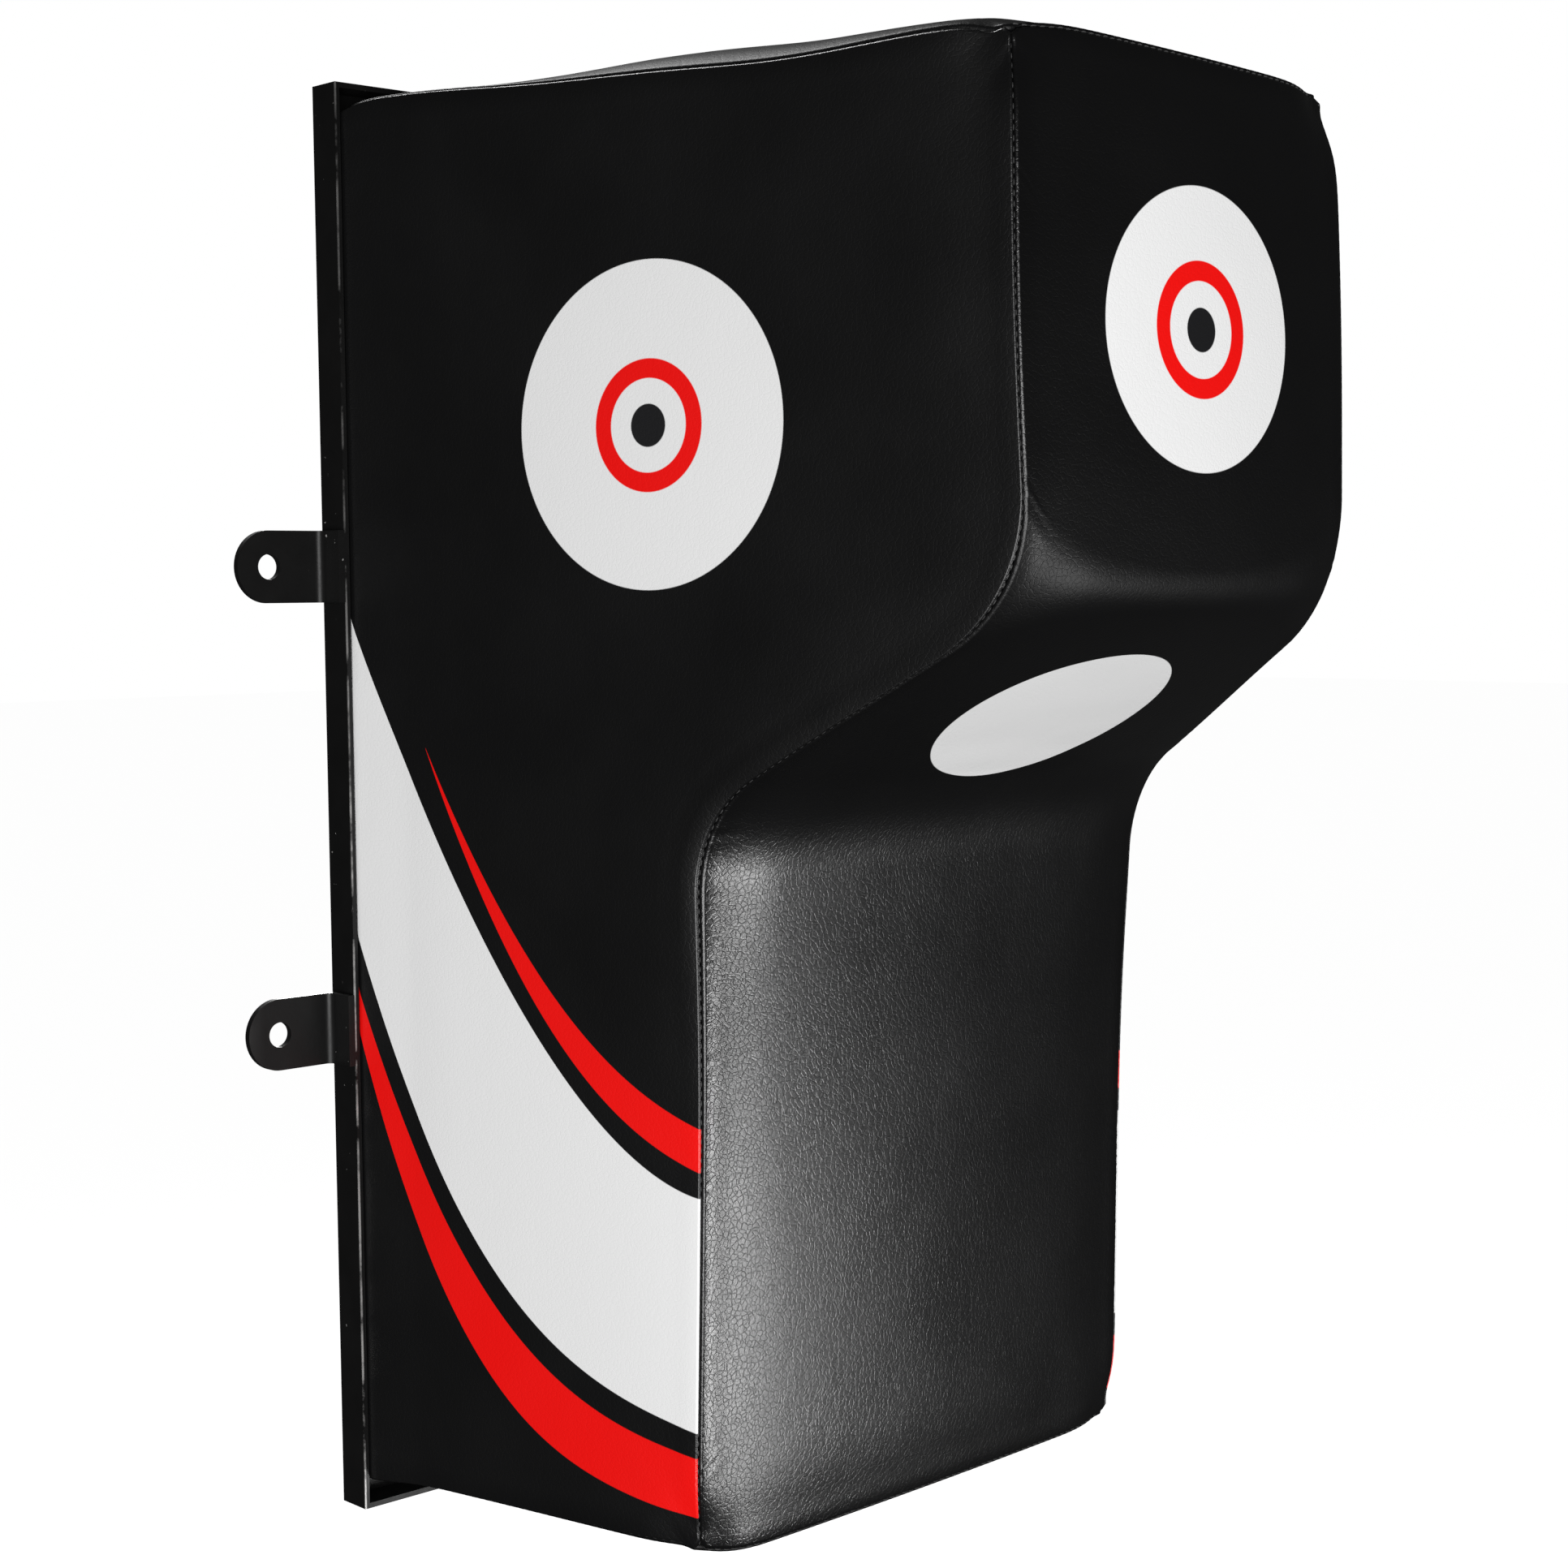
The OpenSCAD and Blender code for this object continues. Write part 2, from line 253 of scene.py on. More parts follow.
# How the seams along the pad's top and bottom wander: (mm up, depth, reach)
TOP_SEAM_WAVES = ((6.5, 54, 84), (-4.0, 305, 66), (-6.0, 8, 20))
BOTTOM_SEAM_WAVES = ((-2.5, 20, 24),)


def waves(depth, humps):
    return sum(size * hump(depth, middle, reach) for size, middle, reach in humps)


def top_seam_z(depth):
    """The seam along each side's top rises near the frame and sags behind the head."""
    drop = BROW_DROP * smooth(SEAM_BROW_D - 30, SEAM_BROW_D - 2, depth)
    return SEAM_TOP + waves(depth, TOP_SEAM_WAVES) - drop


def bottom_seam_z(depth):
    return SEAM_BOTTOM + waves(depth, BOTTOM_SEAM_WAVES)


# ---------------- the covers' base surfaces

TOP_CROWN = 16.0
BOTTOM_CROWN = 7.0
END_WIDTH = 52.0
SIDE_CROWN = 2.2
SIDE_WIDTH = 60.0
EDGE_SHARE = 0.22
EDGE_WIDTH = 60.0
QUICK_WIDTH = 50.0
TOP_EDGE_RISE = 0.8
FOOT_EDGE_DROP = 5.0
FOOT_EDGE_WIDTH = 50.0
FOOT_EDGE_FADE = 30.0
FOOT_EDGE_SLANT = 0.3
TOP_EDGE_FADE = 16.0
# How steeply the crowns rise from the seams, as powers for rise()
SIDE_POWER, DOME_POWER, END_POWER, ENDS_POWER = 2.4, 2.2, 2.3, 2.4
# Where the front's profile bends it is flatter across: (share of that, reach along the seam)
NOSE_QUICK, CORNER_QUICK = (0.35, 58), (0.65, 62)
# At the front's head and foot only a share of the crown is left, which grows within a distance
FRONT_END_SHARE, FRONT_END_REACH = 0.42, 52
# The ends' crown: (depths between which it rises), its least share, how far from the front seam
END_DEPTHS, END_LEAST, END_FRONT_REACH = (50, 210), 0.1, 110
# and a rounder place: (share of the crown, depth, reach)
END_ROUND = (0.25, 265, 90)
BROW_OUT, BROW_OUT_FADE = 0.42, 24.0

# How far each corner of the pad is pulled back by the seams that meet there, for +X
BROW_PULL = np.array([-5.5, 6.5, -1.0])
BROW_REACH = 26.0
BROW_TILT = 4.0
FOOT_TILT = 2.5
TILT_REACH = (80, 60)
# The sides swell a little beside the slope and beside the head: mm, depth, height, reach
SWELLS = ((5.0, 322.0, 25.0, 85.0), (3.5, 430.0, 245.0, 110.0))
# and the far side a little more beside the slope's foot, while its brow is softer
FAR_SWELL = (5.5, 262.0, -15.0, 95.0)
FAR_BROW_PULL = np.array([-1.3, 0.0, -0.9])
FAR_BROW_REACH = 34.0
FOOT_PULL = np.array([-5.0, 3.5, 0.0])
FOOT_REACH = 22.0
BROW = np.array([seam_half(SEAM_BROW_D), -SEAM_BROW_D, SEAM_TOP - BROW_DROP])
FOOT = np.array([seam_half(SEAM_FOOT_D), -SEAM_FOOT_D, SEAM_BOTTOM])


def nearness(points, middle, reach):
    """1 near a place in the pad's side view, given as (y, height), fading to 0 away from it."""
    return hump(points[..., 1], middle[0], reach[0]) * hump(points[..., 2], middle[1], reach[1])


def pulled(points):
    """The points with the pad's four front corners drawn in."""
    points = points.copy()
    for corner, pull, reach in ((BROW, BROW_PULL, BROW_REACH), (FOOT, FOOT_PULL, FOOT_REACH)):
        for side in (-1, 1):
            mirror = np.array([side, 1, 1])
            away = np.linalg.norm(points - corner * mirror, axis=-1)
            points += (pull * mirror) * np.exp(-((away / reach) ** 2))[..., None]
    near_brow, near_foot = (nearness(points, corner[1:], TILT_REACH) for corner in (BROW, FOOT))
    points[..., 2] -= BROW_TILT * points[..., 0] / BROW[0] * near_brow
    points[..., 2] += FOOT_TILT * points[..., 0] / FOOT[0] * near_foot
    far_brow = np.linalg.norm(points - BROW, axis=-1)
    points += FAR_BROW_PULL * np.exp(-((far_brow / FAR_BROW_REACH) ** 2))[..., None]
    share = points[..., 0] / seam_half(-points[..., 1])
    swells = [(*swell, share) for swell in SWELLS] + [(*FAR_SWELL, np.maximum(share, 0))]
    for swell, depth, height, reach, part in swells:
        points[..., 0] += swell * part * nearness(points, (-depth, height), (reach, reach))
    return points


def place_side(flat):
    """The right side's surface. flat is (minus the depth, height)."""
    depth, z = -flat[..., 0], flat[..., 1]
    away = np.full(depth.shape, 1e9)
    here = np.stack([depth, z], axis=-1)
    path = front_seam.points[::3]
    for start, end in zip(path[:-1], path[1:]):
        along = np.clip((here - start) @ (end - start) / ((end - start) @ (end - start)), 0, 1)
        gap = here - start - along[..., None] * (end - start)
        away = np.minimum(away, np.linalg.norm(gap, axis=-1))
    edge = np.minimum(away, np.minimum(top_seam_z(depth) - z, z - bottom_seam_z(depth)))
    swell = rise(edge, SIDE_WIDTH, SIDE_POWER) * smooth(FLANGE_D + 2, FLANGE_D + 70, depth)
    x = seam_half(depth) + SIDE_CROWN * swell
    return pulled(np.stack([x, -depth, z], axis=-1))


def dome(x, half):
    """The front's crown across the pad, from 0 at its seams to 1 in the middle."""
    inset = half - np.abs(x)
    edge = rise(inset, EDGE_WIDTH, DOME_POWER)
    return EDGE_SHARE * edge + (1 - EDGE_SHARE) * rise(inset, half, 2.0)


def foot_edge(x, half, away):
    """How far the front's lower edge hangs down, a little more to the left, by its places."""
    across = rise(half - np.abs(x), FOOT_EDGE_WIDTH, 2.0) * (1 - FOOT_EDGE_SLANT * x / half)
    return FOOT_EDGE_DROP * across * np.exp(-away / FOOT_EDGE_FADE)


def place_front(flat):
    """The front's surface. flat is (x, how far up the seam)."""
    x, run = flat[..., 0], flat[..., 1]
    seam = front_seam.at(run)
    crest = between(run, front_seam.run, crest_points)
    half = seam_half(seam[..., 0])
    bends = ((NOSE_RUN, NOSE_QUICK), (CORNER_RUN, CORNER_QUICK))
    quick = sum(share * hump(run, place, reach) for place, (share, reach) in bends)
    flat_across = rise(half - np.abs(x), QUICK_WIDTH, DOME_POWER)
    across = (1 - quick) * dome(x, half) + quick * flat_across
    near_end = np.minimum(front_seam.length - run, run)
    grown = rise(near_end, FRONT_END_REACH, ENDS_POWER)
    ends = FRONT_END_SHARE + (1 - FRONT_END_SHARE) * grown
    swell = across * ends
    point = seam + swell[..., None] * (crest - seam)
    near_top = np.exp(-(front_seam.length - run) / TOP_EDGE_FADE)
    z = point[..., 1] + TOP_EDGE_RISE * across * near_top
    z = z - foot_edge(x, half, run)
    return pulled(np.stack([x, -point[..., 0], z], axis=-1))


def place_end(flat, edge_d, edge_z, crown, sign):
    """The top's or the bottom's surface. flat is (x, minus the depth)."""
    x, depth = flat[..., 0], -flat[..., 1]
    half = seam_half(depth)
    across = rise(half - np.abs(x), END_WIDTH, END_POWER)
    brow = dome(x, half)
    inset = HEAD_SEAM_INSET if sign > 0 else LOW_SEAM_INSET
    front = np.maximum(edge_d - depth, 0)
    more, place, reach = END_ROUND
    lift = across * rise(front, END_FRONT_REACH, 2.0)
    lift = lift * (END_LEAST + (1 - END_LEAST) * smooth(*END_DEPTHS, depth))
    lift = lift * (1 - more + more * hump(depth, place, reach))
    z = edge_z(depth) + sign * crown * lift
    if sign > 0:
        z = z + TOP_EDGE_RISE * brow * np.exp(-front / TOP_EDGE_FADE)
    else:
        z = z - foot_edge(x, half, front)
    out_d = BROW_OUT * inset * brow * np.exp(-front / BROW_OUT_FADE)
    return pulled(np.stack([x, -(depth + out_d), z], axis=-1))


def place_top(flat):
    return place_end(flat, SEAM_BROW_D, top_seam_z, TOP_CROWN, 1)


def place_bottom(flat):
    return place_end(flat, SEAM_FOOT_D, bottom_seam_z, BOTTOM_CROWN, -1)


# ---------------- panels

# Segments along the front seams, across the pad, and along its top and bottom side seams
ALONG_FRONT, ACROSS, ALONG_END = 688, 256, 352
FINE = 4
COARSE = 8

# Rings round a cover from its seam inwards: (share of the lip) and then (distance, stride).
# The back's first ring keeps a share of the groove's depth.
LIP_SHARES = (0, 0.1, 0.22, 0.36, 0.52, 0.7, 0.88, 1)
DEEP_SHARE = 0.35
FIELD_RINGS = ((8.0, 1), (11.0, 1), (15.0, 2), (20.0, FINE))
BACK_RINGS = ((9.0, 1), (12.0, 2), (15.0, 4), (20.0, COARSE))


class Panel:
    """One cover: its flat outline of four sides, anticlockwise, and its surface.

    The sides are bottom, right, top and left in the flat plane. A side that isn't sewn is at
    the wall. flip turns the faces over, where the flat plane is seen from inside.
    """

    def __init__(self, name, sides, sewn, counts, place, flip, lip, thick):
        self.name, self.sides, self.sewn, self.counts = name, sides, sewn, counts
        self.place, self.flip, self.lip, self.thick = place, flip, lip, thick
        loose = [i for i in range(4) if not sewn[i]]
        first = (loose[0] + 1) % 4 if loose else 0
        self.order = [(first + k) % 4 for k in range(4 - len(loose))]
        self.closed = not loose
        self.seam = {}

    def stretch(self, side, inset, stride):
        """Flat points along one side at an inset, and their distances along the side."""
        line = self.sides[side]
        before, own, after = (inset * self.sewn[(side + k) % 4] for k in (-1, 0, 1))
        run = np.linspace(before, line.length - after, self.counts[side] // stride + 1)
        return line.at(run) + own * line.inward(run), run

    def ring(self, inset, stride):
        """A ring's flat points, with each one's side, index, distance along and inset."""
        flat, side_of, index, run_of, inset_of = [], [], [], [], []
        for n, side in enumerate(self.order):
            points, run = self.stretch(side, inset, stride)
            last = not self.closed and n == len(self.order) - 1
            keep = slice(0, None if last else -1)
            count = len(points[keep])
            flat.append(points[keep])
            side_of.append(np.full(count, side))
            index.append(np.arange(len(points))[keep] * stride)
            run_of.append(run[keep])
            inset_of.append(np.full(count, inset))
        return [np.concatenate(v) for v in (flat, side_of, index, run_of, inset_of)]

    def edge_frames(self):
        """Each sewn side's points and the directions in which the cover leaves them."""
        self.edge = {}
        for side in self.order:
            line = self.sides[side]
            run = np.linspace(0, line.length, self.counts[side] + 1)
            start = self.place(line.at(run))
            inside = self.place(line.at(run) + 1.5 * line.inward(run))
            self.edge[side] = (start, unit(inside - start))


OUTLINE_STEPS = 160
seam_steps = np.linspace(0, 1, OUTLINE_STEPS)
rear_to_brow = REAR_D + (SEAM_BROW_D - REAR_D) * seam_steps
rear_to_foot = REAR_D + (SEAM_FOOT_D - REAR_D) * seam_steps
brow_x = np.linspace(-1, 1, OUTLINE_STEPS) * seam_half(SEAM_BROW_D)
foot_x = np.linspace(-1, 1, OUTLINE_STEPS) * seam_half(SEAM_FOOT_D)

side_top = Line(np.stack([-rear_to_brow, top_seam_z(rear_to_brow)], axis=1))
side_front = Line(np.stack([-front_seam.points[::-1, 0], front_seam.points[::-1, 1]], axis=1))
side_bottom = Line(np.stack([-rear_to_foot, bottom_seam_z(rear_to_foot)], axis=1)[::-1])
side_rear = Line([side_bottom.points[-1], side_top.points[0]])

across_half = seam_half(front_seam.points[:, 0])
front_right = Line(np.stack([across_half, front_seam.run], axis=1))
front_left = Line(np.stack([-across_half, front_seam.run], axis=1)[::-1])
front_top = Line(np.stack([brow_x[::-1], np.full(OUTLINE_STEPS, front_seam.length)], axis=1))
front_bottom = Line(np.stack([foot_x, np.zeros(OUTLINE_STEPS)], axis=1))


def end_outline(depths, front_x):
    """The four sides of the top or the bottom, with the front edge first."""
    rail = seam_half(depths)
    right = Line(np.stack([rail, -depths], axis=1)[::-1])
    left = Line(np.stack([-rail, -depths], axis=1))
    front = Line(np.stack([front_x, np.full(OUTLINE_STEPS, -depths[-1])], axis=1))
    rear = Line([right.points[-1], left.points[0]])
    return [front, right, rear, left]


SIDE_T, FRONT_T, END_T = 10.2, 18.2, 12.2
front = Panel(
    "front_cover", [front_bottom, front_right, front_top, front_left],
    (True, True, True, True), (ACROSS, ALONG_FRONT, ACROSS, ALONG_FRONT),
    place_front, False, FRONT_LIP, FRONT_T,
)


def end_cover(name, depths, front_x, place, flip):
    return Panel(
        name, end_outline(depths, front_x), (True, True, False, True),
        (ACROSS, ALONG_END, ACROSS, ALONG_END), place, flip, END_LIP, END_T,
    )


def side_cover(name, place, flip):
    return Panel(
        name, [side_bottom, side_rear, side_top, side_front], (True, False, True, True),
        (ALONG_END, ALONG_FRONT, ALONG_END, ALONG_FRONT), place, flip, SIDE_LIP, SIDE_T,
    )


top = end_cover("top_cover", rear_to_brow, brow_x, place_top, False)
bottom = end_cover("bottom_cover", rear_to_foot, foot_x, place_bottom, True)
right = side_cover("right_side_cover", place_side, False)
left = side_cover("left_side_cover", lambda flat: place_side(flat) * np.array([-1, 1, 1]), True)
PANELS = [front, right, left, top, bottom]
for panel in PANELS:
    panel.edge_frames()


# ---------------- seams

class Seam:
    """Where two covers are sewn together: its line, the way in, and the bottom of its groove."""

    def __init__(self, name, a, a_side, b, b_side, puckers):
        self.name, self.puckers = name, puckers
        line, a_away = a.edge[a_side]
        other, b_away = b.edge[b_side]
        turned = np.linalg.norm(line[0] - other[0]) > np.linalg.norm(line[0] - other[-1])
        if turned:
            other, b_away = other[::-1], b_away[::-1]
        self.line = (line + other) / 2
        self.inward = unit(a_away + b_away)
        self.deep = self.line + SEAM_DEPTH * self.inward
        self.run = run_along(self.line)
        a.seam[a_side], b.seam[b_side] = (self, False), (self, turned)


seams = [
    Seam("left_front", front, 3, left, 3, 1),
    Seam("right_front", front, 1, right, 3, 1),
    Seam("head_top", front, 2, top, 0, 0.6),
    Seam("foot", front, 0, bottom, 0, 0.4),
    Seam("left_top", left, 2, top, 3, 0.5),
    Seam("right_top", right, 2, top, 1, 0.5),
    Seam("left_bottom", left, 0, bottom, 3, 0.4),
    Seam("right_bottom", right, 0, bottom, 1, 0.4),
]


CORNER_REACH, CORNER_FADE = 25, 7


def join_corners():
    """Brings the ends of the three seams at each front corner to one point."""
    for corner in (BROW, FOOT):
        for side in (-1, 1):
            want = pulled(corner * np.array([side, 1, 1]))
            ends = [
                (seam, end)
                for seam in seams
                for end in (0, -1)
                if np.linalg.norm(seam.line[end] - want) < CORNER_REACH
            ]
            point = np.mean([seam.deep[end] for seam, end in ends], axis=0)
            for seam, end in ends:
                away = np.abs(seam.run - seam.run[end])
                fade = np.exp(-((away / CORNER_FADE) ** 2))[:, None]
                seam.deep = seam.deep + (point - seam.deep[end]) * fade


join_corners()


def roll(inset, lip, away, inward):
    """How a cover's edge is rolled into its seam, at distances from the seam's line."""
    cosine = np.clip((away * inward).sum(-1), -0.999, 0.999)
    half_angle = np.arccos(cosine)
    radius = lip * np.tan(half_angle / 2)
    into = unit(inward - cosine[..., None] * away)
    turn = (np.pi - half_angle) * np.clip(1 - inset / lip, 0, 1)
    along = np.where(inset < lip, lip - radius * np.sin(turn) - inset, 0)
    down = np.where(inset < lip, radius * (1 - np.cos(turn)), 0)
    return along[..., None] * away + down[..., None] * into


def seam_of(panel, side, index):
    """The seam's inward direction, its correction and its run at a side's points."""
    seam, turned = panel.seam[side]
    at = panel.counts[side] - index if turned else index
    line, _ = panel.edge[side]
    fix = seam.deep[at] - (line[index] + SEAM_DEPTH * seam.inward[at])
    return seam.inward[at], fix, seam.run[at], seam.deep[at]


# How the stitches pinch the leather and how it puckers beside them, by the cover's lip: mm
PINCH = {SIDE_LIP: 0.12, FRONT_LIP: 0.22, END_LIP: 0.2}
PUCKER = {SIDE_LIP: 0.0, FRONT_LIP: 0.16, END_LIP: 0.12}
# Both fade with distance from the seam. The puckers come in patches and drift along the seam.
FIX_FADE, PINCH_FADE = 6, 1.8
PATCH_LENGTH, RIPPLE_LENGTH, DRIFT, DRIFT_LENGTH = 210, 12.5, 2.2, 95
PUCKER_START, PUCKER_REACH, PATCH_REACH = 2, 5, 3


def sewn_points(panel, flat, side_of, index, run_of, inset_of):
    """A ring's points in space, rolled, pinched by the stitches and puckered."""
    points = panel.place(flat)
    base = points.copy()
    for side in panel.order:
        mine = side_of == side
        if not mine.any():
            continue
        away = panel.edge[side][1][index[mine]]
        inward, fix, run, _ = seam_of(panel, side, index[mine])
        w = inset_of[mine]
        points[mine] += roll(w, panel.lip, away, inward)
        points[mine] += fix * np.exp(-w / FIX_FADE)[:, None]
        wave = 0.5 + 0.5 * np.cos(2 * np.pi * run / STITCH_PITCH)
        pinch = PINCH[panel.lip] * wave * np.exp(-w / PINCH_FADE)
        seam = panel.seam[side][0]
        seed = 11 + 7 * seams.index(seam) + PANELS.index(panel)
        patch = np.clip(wander(run, seed, PATCH_LENGTH), 0, 2)
        drift = DRIFT * wander(run, seed + 50, DRIFT_LENGTH)
        ripple = np.sin(2 * np.pi * run / RIPPLE_LENGTH + drift)
        fade = np.exp(-w / (PUCKER_REACH + PATCH_REACH * patch))
        reach = fade * (1 - np.exp(-w / PUCKER_START))
        pucker = PUCKER[panel.lip] * seam.puckers * patch * ripple * reach
        points[mine] += (pinch + pucker)[:, None] * inward
        for end, beside in ((0, (side - 1) % 4), (-1, (side + 1) % 4)):
            if not panel.sewn[beside]:
                continue
            near = run_of[mine] if end == 0 else panel.sides[side].length - run_of[mine]
            close = np.where(near < panel.lip)[0]
            if not len(close):
                continue
            corner = panel.counts[beside] if end == 0 else 0
            turned_away = panel.edge[beside][1][[corner]]
            turned_in = seam_of(panel, beside, np.array([corner]))[0]
            count = len(close)
            extra = roll(
                near[close], panel.lip,
                np.repeat(turned_away, count, 0), np.repeat(turned_in, count, 0),
            )
            at = np.where(mine)[0][close]
            points[at] += extra
    return points, base


# ---------------- meshes of the covers

# How quickly a curve's correction at its corners fades along it
CORNER_POWER = 8
BOARD_FADE = 9
SETTLE_START = 16


def coons(panel, stride, inset):
    """Flat points of the field inside the rings, from the four curves round it."""
    curves = [panel.stretch(side, inset, stride)[0] for side in range(4)]
    low, high = curves[0], curves[2][::-1]
    start, end = curves[3][::-1], curves[1]
    for curve, first, last in ((low, start[0], end[0]), (high, start[-1], end[-1])):
        t = np.linspace(0, 1, len(curve))[:, None]
        first_share, last_share = (1 - t) ** CORNER_POWER, t ** CORNER_POWER
        curve += first_share * (first - curve[0]) + last_share * (last - curve[-1])
    s = np.linspace(0, 1, len(low))[None, :, None]
    t = np.linspace(0, 1, len(start))[:, None, None]
    ruled = (1 - t) * low[None] + t * high[None] + (1 - s) * start[:, None] + s * end[:, None]
    corners = (
        (1 - t) * ((1 - s) * start[0] + s * end[0]) + t * ((1 - s) * start[-1] + s * end[-1])
    )
    return ruled - corners


def ring_border(panel, shape):
    """Row and column of each field point that the last ring shares, in the ring's order."""
    rows, columns = shape
    walks = {
        0: [(0, c) for c in range(columns)],
        1: [(r, columns - 1) for r in range(rows)],
        2: [(rows - 1, c) for c in range(columns - 1, -1, -1)],
        3: [(r, 0) for r in range(rows - 1, -1, -1)],
    }
    border = []
    for n, side in enumerate(panel.order):
        last = not panel.closed and n == len(panel.order) - 1
        border += walks[side] if last else walks[side][:-1]
    return border


class Builder:
    """Collects a mesh's points and faces, with each point's distance from its seam."""

    def __init__(self):
        self.points, self.base, self.inset, self.faces = [], [], [], []
        self.count = 0

    def add(self, points, base, inset):
        self.points.append(points)
        self.base.append(base)
        self.inset.append(np.broadcast_to(inset, len(points)))
        first = self.count
        self.count += len(points)
        return np.arange(first, self.count)

    def bridge(self, outer, inner, closed):
        """Faces between two rings, where the inner one has as many points or half as many."""
        step = round(len(outer) / len(inner))
        n = len(inner) if closed else len(inner) - 1
        for k in range(n):
            part = [outer[(k * step + j) % len(outer)] for j in range(step + 1)]
            self.faces.append([*part, inner[(k + 1) % len(inner)], inner[k]])

    def field(self, grid):
        for r in range(grid.shape[0] - 1):
            for c in range(grid.shape[1] - 1):
                self.faces.append([grid[r, c], grid[r, c + 1], grid[r + 1, c + 1], grid[r + 1, c]])

    def zip(self, one, two):
        """Triangles between two chains of points that start and end together."""
        points = np.concatenate(self.points)
        runs = [run_along(points[chain]) for chain in (one, two)]
        runs = [run / run[-1] for run in runs]
        i = j = 0
        while i < len(one) - 1 or j < len(two) - 1:
            forward = j == len(two) - 1 or (
                i < len(one) - 1 and runs[0][i + 1] <= runs[1][j + 1]
            )
            if forward:
                face = [one[i], one[i + 1], two[j]]
                i += 1
            else:
                face = [one[i], two[j + 1], two[j]]
                j += 1
            if len(set(face)) == 3:
                self.faces.append(face)


def thickness(panel, depth):
    """The padding behind a cover, which is only the leather beside the board."""
    padded = smooth(BOARD_FRONT, BOARD_FRONT + BOARD_FADE, depth)
    return LEATHER_T + (panel.thick - LEATHER_T) * padded


def behind(panel, flat):
    """Points on the hidden face of a cover's padding."""
    step = 0.5
    here = panel.place(flat)
    du = panel.place(flat + np.array([step, 0])) - here
    dv = panel.place(flat + np.array([0, step])) - here
    normal = unit(np.cross(du, dv)) * (-1 if panel.flip else 1)
    return here - normal * thickness(panel, -here[..., 1])[..., None]


def field_grid(build, panel, ring, shape, points, base):
    """The field's point numbers, where its border is shared with the last ring."""
    grid = np.full(shape, -1)
    for number, (r, c) in zip(ring, ring_border(panel, shape)):
        grid[r, c] = number
    own = grid < 0
    grid[own] = build.add(points[own], base[own], 99.0)
    return grid


def cover_mesh(panel):
    """A closed padded form: the leather outside, and the back of its padding."""
    build = Builder()
    loop = panel.ring(0.0, 1)
    deep = np.zeros((len(loop[0]), 3))
    for side in panel.order:
        mine = loop[1] == side
        deep[mine] = seam_of(panel, side, loop[2][mine])[3]
    deep_ring = build.add(deep, deep, 0.0)
    outer = deep_ring
    ends = [[outer[0], outer[-1]]]
    for share in LIP_SHARES:
        flat, *rest = panel.ring(share * panel.lip, 1)
        ring = build.add(*sewn_points(panel, flat, *rest), rest[3])
        build.bridge(outer, ring, panel.closed)
        outer = ring
        ends.append([outer[0], outer[-1]])
    stride = 1
    for inset, stride in FIELD_RINGS:
        flat, *rest = panel.ring(inset, stride)
        ring = build.add(*sewn_points(panel, flat, *rest), inset)
        build.bridge(outer, ring, panel.closed)
        outer = ring
        ends.append([outer[0], outer[-1]])
    flat = coons(panel, stride, inset)
    base = panel.place(flat)
    grid = field_grid(build, panel, outer, flat.shape[:2], base, base)
    build.field(grid)
    front_count = len(build.faces)

    outer = deep_ring
    back_ends = [[outer[0], outer[-1]]]
    for inset, stride in BACK_RINGS:
        flat, *rest = panel.ring(inset, stride)
        points = behind(panel, flat)
        if inset == BACK_RINGS[0][0]:
            points = deep * DEEP_SHARE + points * (1 - DEEP_SHARE)
        ring = build.add(points, points, 99.0)
        build.bridge(outer, ring, panel.closed)
        outer = ring
        back_ends.append([outer[0], outer[-1]])
    flat = coons(panel, stride, inset)
    points = behind(panel, flat)
    back_grid = field_grid(build, panel, outer, flat.shape[:2], points, points)
    build.field(back_grid)
    for k in range(front_count, len(build.faces)):
        build.faces[k] = build.faces[k][::-1]

    if not panel.closed:
        loose = next(i for i in range(4) if not panel.sewn[i])
        pick = {1: lambda g: g[:, -1], 2: lambda g: g[-1, ::-1]}[loose]
        chains = []
        for g, stops in ((grid, ends), (back_grid, back_ends)):
            rim = pick(g)
            chains.append([s[1] for s in stops[:-1]] + list(rim) + [s[0] for s in stops[-2::-1]])
        build.zip(chains[1], chains[0])
    if panel.flip:
        build.faces = [face[::-1] for face in build.faces]
    return build


# ---------------- how the leather settles

CAGE_RINGS = (0.0, 10.0, 20.0)
SETTLE_FRAMES = 16
SETTLE_CAP = 1.6
WELD_DISTANCE = 1.2
# The move of a fine point comes from this many coarse ones, which count less with distance
CARRY_POINTS, CARRY_REACH = 14, 13
SLACK_WAVES, SLACK_LENGTH, SLACK_SEED = 9, 75, 5
CLOTH = {
    "quality": 7, "mass": 0.35, "tension_stiffness": 40, "compression_stiffness": 40,
    "shear_stiffness": 20, "bending_stiffness": 6, "tension_damping": 25,
    "compression_damping": 25, "bending_damping": 5, "air_damping": 6,
    "vertex_group_mass": "held", "pin_stiffness": 1, "vertex_group_shrink": "slack",
    "shrink_min": 0.003, "shrink_max": -0.009, "use_pressure": True,
    "uniform_pressure_force": 1.2,
}


